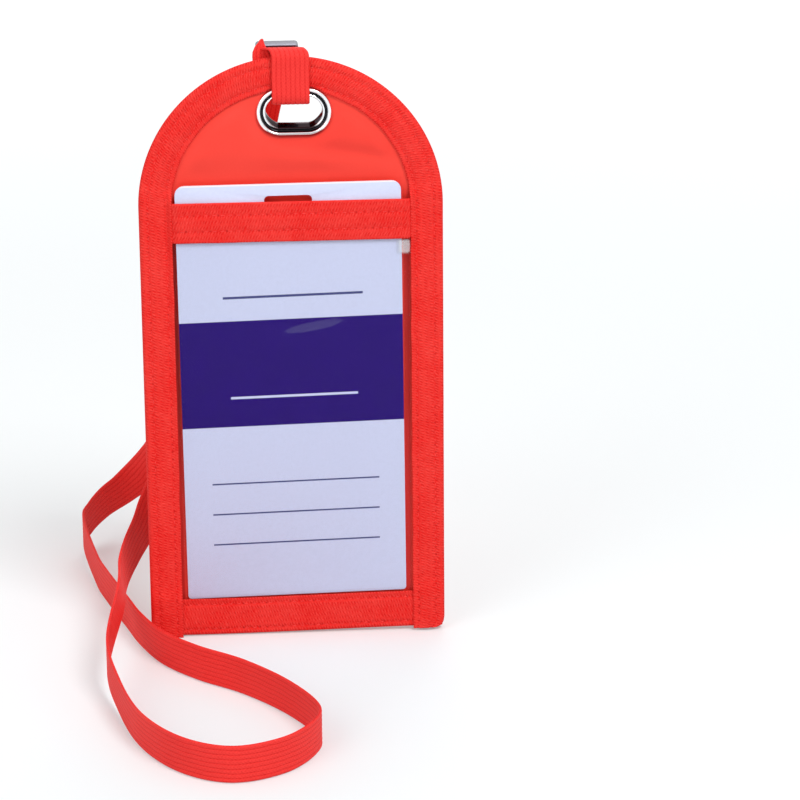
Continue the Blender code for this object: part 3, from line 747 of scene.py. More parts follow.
def chromeLook(where):
    # chrome, with painted shade and painted dark reflection in the crease round its bead, painted shade down
    # its barrel and in its lower lip, and a painted shadow at its foot
    x, y, z = where.xyz()
    out, below = aroundHole(x, z - toFrame.z)
    smear = where.grain(*metalSet["smear"])
    fine = where.grain(*metalSet["fine"])
    reach = eyeletReach
    # painted shade and dark reflection in the crease, painted shade down the barrel and in the lower lip,
    # painted shadow at the foot
    creaseShade = out.eased(*reach["creaseShade"]) * (1.0 - out.eased(*reach["creaseShadeEnd"]))
    barrel = (y - toFrame.y).eased(*reach["back"]) * (1.0 - out.eased(*reach["barrelEnd"]))
    low = below.eased(*reach["low"]) * (1.0 - out.eased(*reach["lowEnd"]))
    foot = below.eased(*reach["foot"]) * out.eased(*reach["footFrom"])
    tone = smear.tint(scaled(metalSet["chrome"], 0.88), metalSet["chrome"])
    tone = (barrel + low).atMost(1.0).tint(creaseShade.tint(tone, metalSet["creaseShade"]), metalSet["barrel"])
    rough = metalSet["chromeRough"] + smear.eased(0.4, 0.8) * 0.07 + fine * 0.03
    return foot.tint(tone, metalSet["foot"]), rough, smear.raised(metalSet["chromeDepth"], 0.3)


netTone = {
    "ply": (2400.0, 3.0, 0.6), "wear": (160.0, 3.0, 0.5),
    "dark": (0.004, 0.004, 0.006), "pale": (0.022, 0.022, 0.028), "rough": 0.3, "depth": 0.00008,
}


def netLook(where):
    ply = where.grain(*netTone["ply"])
    wear = where.grain(*netTone["wear"])
    colour = (ply * 0.6 + wear * 0.4).tint(netTone["dark"], netTone["pale"])
    return colour, netTone["rough"] + ply * 0.3, ply.raised(netTone["depth"], 0.7)


looks = {
    "cloth": madeLook("redNonwoven", uvOf, clothLook, Specular_IOR_Level=0.18),
    "tape": madeLook("redBindingTape", uvOf, tapeLook, Specular_IOR_Level=0.2),
    "strap": madeLook("redStrap", uvOf, strapLook, Specular_IOR_Level=0.22),
    "panel": madeLook("redSmoothSheet", uvOf, panelLook, Specular_IOR_Level=0.3),
    "thread": madeLook("redThread", placeOf, threadLook),
    "vinyl": vinylLook(),
    "card": madeLook("printedCard", placeOf, cardLook, Specular_IOR_Level=0.14),
    "chrome": madeLook("chromedEyelet", placeOf, chromeLook, Metallic=1.0),
    "steel": madeLook("platedCrimp", placeOf, steelLook, Metallic=1.0),
    "net": madeLook("blackNet", placeOf, netLook),
}
print("looks made:", len(looks))

# neck strap and its loop

crimpSet = {
    "shift": -0.0035, "back": 0.0089, "level": 0.2039, "length": 0.0075, "width": 0.0142, "layer": 0.0006,
    "height": 0.0037, "wall": 0.0005, "corner": 0.0009, "bends": 5, "edge": 0.00008, "seam": 0.0010,
}
strapRoute = [
    (-0.0035, 0.0164, 0.2040), (-0.0035, 0.0194, 0.2017), (-0.0046, 0.0218, 0.1970),
    (-0.0085, 0.0242, 0.1860), (-0.0190, 0.0370, 0.1460), (-0.0305, 0.0600, 0.0980),
    (-0.0400, 0.0820, 0.0590), (-0.0470, 0.0950, 0.0380), (-0.0543, 0.1025, 0.0248),
    (-0.0612, 0.1030, 0.0184), (-0.0683, 0.0985, 0.0148), (-0.0737, 0.0905, 0.0116),
    (-0.0758, 0.0805, 0.0094), (-0.0706, 0.0500, 0.0066), (-0.0667, 0.0330, 0.0066),
    (-0.0590, 0.0060, 0.0066), (-0.0542, -0.0103, 0.0066), (-0.0467, -0.0274, 0.0066),
    (-0.0350, -0.0420, 0.0066), (-0.0200, -0.0555, 0.0066), (-0.0060, -0.0740, 0.0066),
    (0.0032, -0.0940, 0.0066), (0.0016, -0.1070, 0.0066), (-0.0085, -0.1205, 0.0066),
    (-0.0250, -0.1265, 0.0066), (-0.0410, -0.1175, 0.0066), (-0.0535, -0.0970, 0.0066),
    (-0.0610, -0.0690, 0.0074), (-0.0648, -0.0460, 0.0125), (-0.0610, -0.0100, 0.0180),
    (-0.0602, 0.0070, 0.0208), (-0.0570, 0.0200, 0.0250), (-0.0504, 0.0330, 0.0340),
    (-0.0380, 0.0380, 0.0620), (-0.0200, 0.0290, 0.1280), (-0.0078, 0.0204, 0.1850),
    (-0.0036, 0.0183, 0.1982), (-0.0035, 0.0156, 0.2022),
]
loopRoute = [
    (-0.0035, 0.0044, 0.2045), (-0.0025, 0.002575, 0.2052), (-0.0015, 0.00075, 0.20555),
    (-0.0005, -0.00065, 0.20555), (0.0005, -0.00275, 0.20395), (0.0005, -0.00275, 0.19845),
    (0.0005, -0.0028, 0.19245), (0.0005, -0.0028, 0.19015), (0.0005, -0.0019, 0.187854),
    (0.0005, 0.0, 0.187629), (0.0005, 0.0022, 0.187854), (0.0005, 0.0031, 0.19015),
    (0.0005, 0.0031, 0.19245), (-0.0005, 0.00285, 0.19845), (-0.0015, 0.00285, 0.2012),
    (-0.0025, 0.0033, 0.2024), (-0.0035, 0.0044, 0.2033),
]
foldSet = {
    "width": 0.0055,
    "route": [
        (0.0, 0.0026, 0.1960), (0.0, 0.0030, 0.2000), (0.0, 0.0033, 0.2034), (0.0, 0.0035, 0.2054),
        (0.0, 0.0038, 0.2066), (0.0, 0.0045, 0.2074), (0.0, 0.0056, 0.2076),
    ],
    "edges": [  # how high, the left edge and the right edge there
        (0.1960, -0.0112, -0.0058), (0.2000, -0.0117, -0.0056), (0.2026, -0.0118, -0.0056),
        (0.2040, -0.0117, -0.0063), (0.2058, -0.0109, -0.0073), (0.2067, -0.0101, -0.0077),
        (0.2080, -0.0088, -0.0080),
    ],
}


def smoothPath(points, step):
    # a smooth line through the points, in even steps, and its length
    points = [Vector(p) for p in points]
    ends = [2 * points[0] - points[1]] + points + [2 * points[-1] - points[-2]]
    fine = []
    for a, b, c, d in zip(ends, ends[1:], ends[2:], ends[3:]):
        for i in range(strapSet["spanSteps"]):
            t = i / strapSet["spanSteps"]
            bend = (2 * a - 5 * b + 4 * c - d) * t ** 2 + (3 * b - a - 3 * c + d) * t ** 3
            fine.append(0.5 * (2 * b + (c - a) * t + bend))
    fine.append(points[-1])
    reach = [0.0]
    for a, b in zip(fine, fine[1:]):
        reach.append(reach[-1] + (b - a).length)
    count = max(2, round(reach[-1] / step))
    path, k = [], 0
    for i in range(count + 1):
        wanted = reach[-1] * i / count
        while k < len(fine) - 2 and reach[k + 1] < wanted:
            k += 1
        share = (wanted - reach[k]) / (reach[k + 1] - reach[k])
        path.append(fine[k].lerp(fine[k + 1], min(1.0, share)))
    return path, reach[-1]


def aheadAt(path, i):
    return (path[min(i + 1, len(path) - 1)] - path[max(i - 1, 0)]).normalized()


def ribbedStrap(name, path, across, width=strapSet["width"]):
    half = width / 2
    count = round(width / ribPitch) * strapSet["samples"] + 1
    profile = []
    for i in range(count):
        u = -half + 2 * half * i / (count - 1)
        groove = 0.5 + 0.5 * math.cos(2 * pi * u / ribPitch)
        rim = roundedRim(half - abs(u), strapSet["rim"], strapSet["rimLeast"])
        profile.append((u, strapSet["thick"] / 2 * (1 - strapSet["ribDepth"] * groove) * rim))
    points, uvs = [], []
    along = 0.0
    for i, (p, side) in enumerate(zip(path, across)):
        if i:
            along += (p - path[i - 1]).length
        face = aheadAt(path, i).cross(side).normalized()
        points.extend(p + side * u + face * h for u, h in profile)
        points.extend(p + side * u - face * h for u, h in reversed(profile))
        uvs.extend((u, along) for u, h in profile + profile[::-1])
    obj = meshFrom(name, points, bandFaces(len(path), count), uvs)
    outward(obj)
    return obj


def makeNeckStrap():
    mouth = crimpSet["back"] - crimpSet["length"] / 2
    leave = crimpSet["back"] + crimpSet["length"] / 2 + strapSet["thick"]
    high, low = crimpSet["level"] + crimpSet["layer"], crimpSet["level"] - crimpSet["layer"]
    shift = crimpSet["shift"]
    path, length = smoothPath([(shift, leave, high)] + strapRoute + [(shift, leave, low)], strapSet["step"])
    sideways, upwards = Vector((-1.0, 0.0, 0.0)), Vector((0.0, 0.0, 1.0))
    across = []
    last = len(path) - 1
    for i in range(len(path)):
        ahead = aheadAt(path, i)
        upright = (upwards - upwards.dot(ahead) * ahead).normalized()
        level = (sideways - sideways.dot(ahead) * ahead).normalized()
        reach = length * min(i, last - i) / last
        twistEnd = strapSet["twistEnd"][0 if i < last / 2 else 1]
        share = smoothStep((reach - strapSet["twistStart"]) / (twistEnd - strapSet["twistStart"]))
        across.append((upright * share + level * (1 - share)).normalized())
    inner = strapSet["ringsInCrimp"]
    start = [Vector((shift, mouth + (leave - mouth) * i / inner, high)) for i in range(inner)]
    end = [Vector((shift, leave + (mouth - leave) * (i + 1) / inner, low)) for i in range(inner)]
    path = start + path + end
    across = [sideways] * inner + across + [sideways] * inner
    obj = ribbedStrap("neckStrap", path, across)
    settle(obj, "strap", looks["strap"], "lanyard")
    whole = length + 2 * (leave - mouth)
    centres = [p + toFrame for p in path]
    [tuple(p) for p in centres]
    print("neck strap laid:", round(whole, 3), "m")


def makeStrapLoop():
    sideways = Vector((1.0, 0.0, 0.0))
    path = smoothPath(loopRoute, strapSet["loopStep"])[0]
    loop = ribbedStrap("strapLoop", path, [sideways] * len(path))
    settle(loop, "holder", looks["strap"], "strap_loop")
    path = smoothPath(foldSet["route"], strapSet["foldStep"])[0]
    fold = ribbedStrap("strapFold", path, [sideways] * len(path), foldSet["width"])
    for v in fold.data.vertices:  # a fold of it stands beside the crimp, rounded at its top
        share = v.co.x / foldSet["width"] + 0.5
        left, right = foldSet["edges"][0][1:]
        for below, above in zip(foldSet["edges"], foldSet["edges"][1:]):
            rise = clamp((v.co.z - below[0]) / (above[0] - below[0]))
            left += (above[1] - below[1]) * rise
            right += (above[2] - below[2]) * rise
        v.co.x = left + (right - left) * share
    settle(fold, "holder", looks["strap"])
    print("strap loop made")


makeNeckStrap()
makeStrapLoop()

# the surfaces of the pouch

pocketSet = {
    "penMouth": 0.1503, "penFoot": 0.060, "penGape": 0.0085,
    "netMouth": 0.0776, "netFoot": 0.012, "netGape": 0.008, "netLift": 0.00085,
    "windowMouth": 0.1543, "hem": 0.013,
}
windowShape = {
    "thick": 0.0003,
    "across": [(0.0, 0.0380, 0.0016), (0.0380, 0.0420, 0.00025), (0.0420, 0.0488, 0.0016)],
    "up": [(0.0012, 0.0110, 0.0016), (0.0110, 0.0142, 0.0003), (0.0142, 0.1540, 0.0017)],
    "clear": 0.0002, "hemClear": 0.00040, "hem": (0.1355, 0.0055), "drop": (0.0415, -0.0028),
    "foot": (0.0114, 0.0024), "free": (0.0375, -0.006), "freeLow": (0.018, 0.01), "freeHigh": (0.134, -0.01),
    "waves": [(0.00012, 0.021, 11.0), (0.00006, 0.009, 13.0)], "proud": 0.0001,
}


def cardBack(z):
    return cardFrame["backAtFoot"] - cardFrame["lean"] * (z - cardFrame["foot"])


def windowSurface(x, z):
    # the sheet lies on the card, stands off it where the hem goes round it, and drops at its sides
    hem = ramp(z, windowShape["hem"])
    over = cardBack(z) - cardFrame["thick"] - windowShape["clear"] - windowShape["hemClear"] * hem
    edge, width = windowShape["drop"]
    side = clamp((abs(x) - edge) / width)
    side = 0.5 * side + 0.5 * smoothStep(side)
    flat = pouchSet["windowFlat"]
    return flat + (over - flat) * side * ramp(z, windowShape["foot"])


def swell(x):
    return math.cos(pi / 2 * min(1.0, abs(x) / pouchSet["seam"]) ** 2)


def penSurface(x, z):
    rise = smoothStep((z - pocketSet["penFoot"]) / (pocketSet["penMouth"] - pocketSet["penFoot"]))
    return pouchSet["penFlat"] + pocketSet["penGape"] * rise * swell(x)


def netSurface(x, z):
    share = clamp((z - pocketSet["netFoot"]) / (pocketSet["netMouth"] - pocketSet["netFoot"]))
    rise = 1 - (1 - share) ** 2
    return penSurface(x, z) + pocketSet["netLift"] + pocketSet["netGape"] * rise * swell(x)


def inArch(x, z, margin):
    if z <= pouchSet["archZ"]:
        return abs(x) < pouchSet["half"] - margin
    return math.hypot(x, z - pouchSet["archZ"]) < pouchSet["half"] - margin


def fromHole(x, z):
    straight = (pouchSet["holeLong"] - pouchSet["holeTall"]) / 2
    beside = max(0.0, abs(x - pouchSet["eyeletX"]) - straight)
    return math.hypot(beside, z - pouchSet["eyeletZ"]) - pouchSet["holeTall"] / 2


def stepsOver(parts):
    # steps through several parts, each (start, end, size)
    places = []
    for part in parts:
        places = places[:-1] + steps(*part)
    return places


# panels


def makePanels():
    xs = steps(-panelSet["half"], panelSet["half"], panelSet["cell"])
    zs = steps(panelSet["low"], panelSet["high"], panelSet["cell"])

    def keep(x, z):
        return inArch(x, z, panelSet["edge"]) and fromHole(x, z) > panelSet["holeEdge"]

    def frontSurface(x, z):
        reach = math.hypot(x, z - pouchSet["archZ"])
        free = ramp(reach, panelSet["free"]) * ramp(fromHole(x, z), panelSet["rim"])
        line = panelSet["foldHigh"] - panelSet["foldSlope"] * x
        fold = bell(z, line, panelSet["foldWide"]) * ramp(x, panelSet["foldStart"])
        swollen = panelSet["swell"] + waved(x, z, panelSet["soft"]) - panelSet["fold"] * fold
        return pouchSet["frontPanel"] - (swollen * free + panelSet["proud"]) * ramp(z, panelSet["open"])

    def backSurface(x, z):
        proud = waved(x, z, panelSet["backSoft"]) + panelSet["backProud"]
        return pouchSet["backPanel"] + proud * ramp(z, panelSet["backOpen"])

    front = sheetPiece("frontPanel", xs, zs, frontSurface, panelSet["frontThick"], keep)
    settle(front, "holder", looks["panel"], "front_panel")
    back = sheetPiece("backPanel", xs, zs, backSurface, panelSet["backThick"], keep)
    settle(back, "holder", looks["cloth"], "back_panel")
    print("panels made")


makePanels()

# window and card


def makeWindow():
    half = stepsOver(windowShape["across"])
    xs = [-x for x in reversed(half[1:])] + half
    zs = stepsOver(windowShape["up"])

    def surface(x, z):
        free = ramp(abs(x), windowShape["free"]) * ramp(z, windowShape["freeLow"])
        free *= ramp(z, windowShape["freeHigh"])
        return windowSurface(x, z) - (waved(x, z, *windowShape["waves"]) + windowShape["proud"]) * free

    sheet = sheetPiece("windowSheet", xs, zs, surface, windowShape["thick"])
    settle(sheet, "holder", looks["vinyl"], "window")
    print("window made")


def roundedLoop(half, low, high, corner, lowCorner, count=6):
    loop = []
    for cx, cz, radius, start in (
        (half - corner, high - corner, corner, 0.0),
        (corner - half, high - corner, corner, pi / 2),
        (lowCorner - half, low + lowCorner, lowCorner, pi),
        (half - lowCorner, low + lowCorner, lowCorner, 1.5 * pi),
    ):
        for i in range(count + 1):
            turn = start + pi / 2 * i / count
            loop.append((cx + radius * math.cos(turn), cz + radius * math.sin(turn)))
    return loop


def makeCard():
    # a printed card with rounded corners and a punched slot, cut from a filled outline
    low, high, cut = cardFrame["low"], cardFrame["high"], cardFrame["cut"]
    outline = roundedLoop(cardFrame["half"], low, high, cardFrame["corner"], cardFrame["lowCorner"])
    tall = cardFrame["slotTall"] / 2
    slotMiddle = high - cardFrame["slotDrop"] - tall
    rounding = tall * cardFrame["slotRound"]
    slot = roundedLoop(cardFrame["slotHalf"], slotMiddle - tall, slotMiddle + tall, rounding, rounding)
    shape = bmesh.new()
    for loop in (outline, slot):
        verts = [shape.verts.new((x, 0.0, z)) for x, z in loop]
        for a, b in zip(verts, verts[1:] + verts[:1]):
            shape.edges.new((a, b))
    bmesh.ops.triangle_fill(shape, edges=shape.edges, use_beauty=True, use_dissolve=False)
    for z in steps(low + cut / 2, high - cut, cut):
        everything = shape.verts[:] + shape.edges[:] + shape.faces[:]
        bmesh.ops.bisect_plane(shape, geom=everything, plane_co=(0.0, 0.0, z), plane_no=(0.0, 0.0, 1.0))
    obj = objectFrom("card", shape)
    middle, level = cardFrame["middle"]
    c, s = math.cos(cardFrame["turn"]), math.sin(cardFrame["turn"])
    for v in obj.data.vertices:
        x, z = v.co.x, v.co.z - level
        x, z = middle + c * x - s * z, level + s * x + c * z
        v.co = Vector((x, cardBack(z) - cardFrame["thick"] / 2, z))
    addWall(obj, cardFrame["thick"])
    addRounding(obj, cardFrame["edge"])
    applyAll(obj)
    outward(obj)
    bpy.ops.object.shade_smooth_by_angle(angle=pi / 6)
    settle(obj, "card", looks["card"], "card_insert")
    print("card made")


makeWindow()
makeCard()

# binding tape round the edge

bindSet = {
    "rows": (0.0031, 0.0090),
    "sewn": {"puff": 0.00022, "groove": 0.00018, "ease": 0.0015, "rowWidth": 0.00055},
    "front": [(0.0, -0.00265), (0.0138, -0.00185), (0.1568, -0.00125)],
    "back": [(0.0, 0.00385), (0.0138, 0.00305), (0.0776, 0.00215), (0.1503, 0.00135)],
    "depthEase": 0.005,
    "gap": 0.0003, "foldWide": 0.0013, "foldSquare": 0.8, "foldSteps": 12,
    "flangeTo": 0.0013, "flangeSteps": 30, "least": 0.0001, "corner": 0.0030, "cornerKept": 0.98,
    "step": 0.0015, "endStep": 0.0002, "endReach": 0.0018,
    "wave": (0.00012, 0.012, 21.0), "widen": (0.00022, 0.009, 5.0), "widenFrom": (0.004, 0.007),
    "nearEyelet": (0.018, 0.18), "eyeletRim": 0.0034, "rimShare": 1.05,
}
overSet = {
    "from": 0.0085, "low": 0.0008, "high": 0.16, "clear": 0.00048, "hemClear": 0.00038,
    "hem": (0.1385, 0.003), "end": (0.1590, -0.004), "away": 0.004,
}
straightRun = pouchSet["archZ"]
archRun = pi * pouchSet["half"]
edgeRun = 2 * straightRun + archRun


def edgePlace(along):
    # a point on the pouch's outline, with its outward and forward directions
    if along <= straightRun:
        return Vector((-pouchSet["half"], 0.0, along)), Vector((-1.0, 0.0, 0.0)), Vector((0.0, 0.0, 1.0))
    if along >= straightRun + archRun:
        z = edgeRun - along
        return Vector((pouchSet["half"], 0.0, z)), Vector((1.0, 0.0, 0.0)), Vector((0.0, 0.0, -1.0))
    turn = pi - (along - straightRun) / pouchSet["half"]
    out = Vector((math.cos(turn), 0.0, math.sin(turn)))
    ahead = Vector((math.sin(turn), 0.0, -math.cos(turn)))
    return Vector((0.0, 0.0, pouchSet["archZ"])) + pouchSet["half"] * out, out, ahead


def stepped(z, levels):
    depth = levels[0][1]
    for mouth, following in levels[1:]:
        depth += (following - depth) * ramp(z, (mouth, bindSet["depthEase"]))
    return depth


def edgeDepths(z):
    return stepped(z, bindSet["front"]), stepped(z, bindSet["back"])


def sewnLift(place, rows, sewn):
    # a tape lies lower along its two rows of stitches and swells between them
    lift = sewn["puff"] * ramp(place, (rows[0], sewn["ease"])) * ramp(place, (rows[1], -sewn["ease"]))
    for row in rows:
        lift -= sewn["groove"] * bell(place, row, sewn["rowWidth"])
    return lift


def foldRows(front, back):
    # the fold between a tape's two sides: how far out it goes, as a share, and its y
    middle, tall = (front + back) / 2, (back - front) / 2
    count = bindSet["foldSteps"]
    rows = []
    for i in range(1, count):
        turn = -pi / 2 + pi * i / count
        rows.append((abs(math.cos(turn)) ** bindSet["foldSquare"], middle + tall * math.sin(turn)))
    return rows


def overWindow(x, z):
    # how far forward the window, and its hem near the mouth, hold the binding's free edge
    clear = overSet["clear"] + overSet["hemClear"] * ramp(z, overSet["hem"])
    return windowSurface(x, z) - clear + overSet["away"] * (1 - ramp(z, overSet["end"]))


def edgeProfile(along):
    place, out, _ = edgePlace(along)
    front, back = edgeDepths(place.z)
    wide, rim = pouchSet["bindWide"], bindSet["gap"] + bindSet["foldWide"]
    wave, widen = waved(along, 0.0, bindSet["wave"]), waved(along, 0.0, bindSet["widen"])
    count = bindSet["flangeSteps"]
    insets = [wide - (wide - bindSet["flangeTo"]) * i / count for i in range(count + 1)]
    insets = [i for i in insets if i > rim + bindSet["least"]] + [rim]
    below = max(0.0, 1 - place.z / bindSet["corner"])  # its lower corners are rounded
    cut = bindSet["corner"] * (1 - math.sqrt(1 - below * below)) * bindSet["cornerKept"]

    def tapePoint(inset, y):
        inward = inset + widen * ramp(inset, bindSet["widenFrom"])
        p = place - out * (cut + inward * (1 - cut / wide))
        aside, high = bindSet["nearEyelet"]
        if abs(p.x) < aside and p.z > high:  # the tape stops at the eyelet's rim
            clear = fromHole(p.x, p.z) - bindSet["eyeletRim"]
            if clear < 0:
                p = p - out * clear * bindSet["rimShare"]
        return p + Vector((0.0, y, 0.0))

    points = []
    for inset in insets:
        y = front - sewnLift(inset, bindSet["rows"], bindSet["sewn"]) - wave * 0.5
        if inset > overSet["from"] and overSet["low"] < place.z < overSet["high"]:
            p = tapePoint(inset, 0.0)
            y = min(y, overWindow(p.x, p.z))
        points.append((tapePoint(inset, y), inset))
    for share, y in foldRows(front, back):
        points.append((tapePoint(rim - bindSet["foldWide"] * share, y), 0.0))
    for inset in reversed(insets):
        y = back + sewnLift(inset, bindSet["rows"], bindSet["sewn"]) - wave * 0.5
        points.append((tapePoint(inset, y), inset))
    return tapeRows(points, lambda inset: seamGap(inset, *bindSet["rows"]))


def makeEdgeBinding():
    reach = bindSet["endReach"]
    ends = steps(0.0, reach, bindSet["endStep"])[:-1]
    places = ends + steps(reach, edgeRun - reach, bindSet["step"]) + [edgeRun - e for e in reversed(ends)]
    stations = [(along, edgePlace(along)[2]) for along in places]
    tape = foldedTape("edgeBinding", stations, edgeProfile, pouchSet["bindThick"])
    settle(tape, "holder", looks["tape"], "edge_binding")
    print("edge binding made")


makeEdgeBinding()

# hems and pockets

hemSet = {
    "reach": 0.0470, "step": 0.0012, "rowStep": 0.0005, "gap": 0.00004, "proud": 0.00006, "over": 0.0001,
    "sewn": {"puff": 0.00012, "groove": 0.00014, "ease": 0.0014, "rowWidth": 0.00055},
    "cover": (0.0385, 0.001), "fold": 0.00045, "coveredFold": 0.0003, "foldSteps": 8,
}
hems = {
    "windowHem": {
        "mouth": pocketSet["windowMouth"], "surface": windowSurface, "rows": (0.0040, 0.0035),
        "sheet": windowShape["thick"], "tape": 0.00034, "side": -1, "look": "tape",
        "wave": (0.00010, 0.010, 31.0),
    },
    "penPocketHem": {
        "mouth": pocketSet["penMouth"], "surface": penSurface, "rows": (0.0022, 0.0022),
        "sheet": 0.0005, "tape": 0.0004, "side": 1, "look": "cloth", "wave": (0.00010, 0.010, 33.0),
    },
    "netPocketHem": {
        "mouth": pocketSet["netMouth"], "surface": netSurface, "rows": (0.0022, 0.0022),
        "sheet": 0.0006, "tape": 0.0004, "side": 1, "look": "cloth", "wave": (0.00010, 0.010, 35.0),
    },
}
penSet = {
    "half": 0.0490, "low": 0.0012, "underMouth": 0.0001, "cell": (0.0014, 0.0016), "thick": 0.0005,
    "free": (0.082, 0.02), "freeEnd": 0.01,
    "waves": [(0.0007, 0.034, 41.0), (0.00035, 0.015, 43.0)],
    "flat": (0.100, 0.152), "area": 0.098 * 0.149,
}


def straightRuns(half, step):
    # stations along a straight level tape
    return [(x, Vector((1.0, 0.0, 0.0))) for x in steps(-half, half, step)]


def seamRows(hem):
    fromLow, fromMouth = hem["rows"]
    return hem["mouth"] - pocketSet["hem"] + fromLow, hem["mouth"] - fromMouth


def makeHem(name, replaced):
    # a hem folded over a mouth; its ends go on, flat, under the side binding
    hem = hems[name]
    mouth, surface, side = hem["mouth"], hem["surface"], hem["side"]
    rows = seamRows(hem)
    offset = hem["sheet"] / 2 + hem["tape"] / 2 + hemSet["gap"]

    def profileAt(x):
        wave, cover = waved(x, mouth, hem["wave"]), ramp(abs(x), hemSet["cover"])

        def reliefAt(z):
            return (sewnLift(z, rows, hemSet["sewn"]) + wave + hemSet["proud"]) * (1 - cover)

        def front(z):
            return surface(x, z) - offset - (reliefAt(z) if side < 0 else 0.0)

        def back(z):
            return surface(x, z) + offset + (reliefAt(z) if side > 0 else 0.0)

        top = mouth + hemSet["over"]
        heights = steps(mouth - pocketSet["hem"] + wave, top, hemSet["rowStep"])[:-1]
        points = [(Vector((x, front(z), z)), z) for z in heights]
        middle, tall = (front(top) + back(top)) / 2, (back(top) - front(top)) / 2
        fold = hemSet["fold"] if cover < 1 else hemSet["coveredFold"]
        for i in range(hemSet["foldSteps"] + 1):
            turn = -pi / 2 + pi * i / hemSet["foldSteps"]
            z = top + fold * math.cos(turn)
            points.append((Vector((x, middle + tall * math.sin(turn), z)), z))
        points += [(Vector((x, back(z), z)), z) for z in reversed(heights)]
        return tapeRows(points, lambda z: seamGap(z, *rows))

    tape = foldedTape(name, straightRuns(hemSet["reach"], hemSet["step"]), profileAt, hem["tape"])
    settle(tape, "holder", looks[hem["look"]], replaced)


def makePenPocket():
    xs = steps(-penSet["half"], penSet["half"], penSet["cell"][0])
    zs = steps(penSet["low"], pocketSet["penMouth"] - penSet["underMouth"], penSet["cell"][1])
    hemLow = pocketSet["penMouth"] - pocketSet["hem"]

    def surface(x, z):
        free = ramp(z, penSet["free"]) * ramp(z, (hemLow, -penSet["freeEnd"])) * swell(x)
        return penSurface(x, z) + waved(x, z, *penSet["waves"]) * free

    pen = sheetPiece("penPocket", xs, zs, surface, penSet["thick"])
    settle(pen, "holder", looks["cloth"], "pen_pocket")


makeHem("windowHem", "window_hem")
makePenPocket()
makeHem("penPocketHem", "pen_pocket_hem")
makeHem("netPocketHem", "net_pocket_hem")
print("pockets made")

# bottom binding

bottomSet = {
    "front": -0.00185, "back": 0.00305, "frontTop": 0.0138, "backTop": 0.011, "low": 0.0016, "fold": 0.00135,
    "rowLow": 0.0026, "rowDrop": 0.0022,
    "sewn": {"puff": 0.00012, "groove": 0.00014, "ease": 0.0012, "rowWidth": 0.00045},
    "frontStep": 0.0004, "backStep": 0.0005, "overFrom": 0.0105, "clear": 0.00044,
    "wave": (0.00010, 0.010, 51.0), "waveFrom": (0.006, 0.004),
    "half": 0.0499, "step": 0.0015, "thick": 0.0005,
}


def bottomRows(top):
    return bottomSet["rowLow"], top - bottomSet["rowDrop"]


def bottomProfile(x):
    front, back, low = bottomSet["front"], bottomSet["back"], bottomSet["low"]
    frontRows, backRows = bottomRows(bottomSet["frontTop"]), bottomRows(bottomSet["backTop"])
    wave = waved(x, 0.0, bottomSet["wave"])
    profile = []
    for z in reversed(steps(low, bottomSet["frontTop"], bottomSet["frontStep"])):
        y = front - sewnLift(z, frontRows, bottomSet["sewn"])
        if z > bottomSet["overFrom"]:
            y = min(y, windowSurface(x, z) - bottomSet["clear"])
        profile.append((z, y))
    for share, y in foldRows(front, back):
        profile.append((low - bottomSet["fold"] * share, y))
    for z in steps(low, bottomSet["backTop"], bottomSet["backStep"]):
        profile.append((z, back + sewnLift(z, backRows, bottomSet["sewn"])))
    points = []
    for z, y in profile:
        ragged = wave * ramp(z, bottomSet["waveFrom"])
        rows = frontRows if y < (front + back) / 2 else backRows
        points.append((Vector((x, y, z + ragged)), (z, rows)))
    return tapeRows(points, lambda place: seamGap(place[0], *place[1]))


def makeBottomBinding():
    stations = straightRuns(bottomSet["half"], bottomSet["step"])
    tape = foldedTape("bottomBinding", stations, bottomProfile, bottomSet["thick"])
    settle(tape, "holder", looks["tape"], "bottom_binding")
    print("bottom binding made")


makeBottomBinding()

# stitches

stitchSet = {
    "pitch": 0.0027, "long": 0.0018, "wide": 0.00036, "high": 0.00032, "bow": 0.0006, "sunk": 0.00002,
    "lean": 0.06, "leanTurn": 2.4, "fromHole": 0.0045,
    "underStrap": {"middle": 0.0005, "half": 0.0068, "low": 0.19},
    "hemReach": 0.0378, "bottomReach": 0.0385, "probe": 0.0005,
}
forward, backward = Vector((0.0, -1.0, 0.0)), Vector((0.0, 1.0, 0.0))


def stitchShape():
    bpy.ops.mesh.primitive_uv_sphere_add(segments=8, ring_count=5, radius=0.5)
    obj = bpy.context.object
    shape = [v.co.copy() for v in obj.data.vertices]
    faces = [list(p.vertices) for p in obj.data.polygons]
    bpy.data.objects.remove(obj)
    return shape, faces


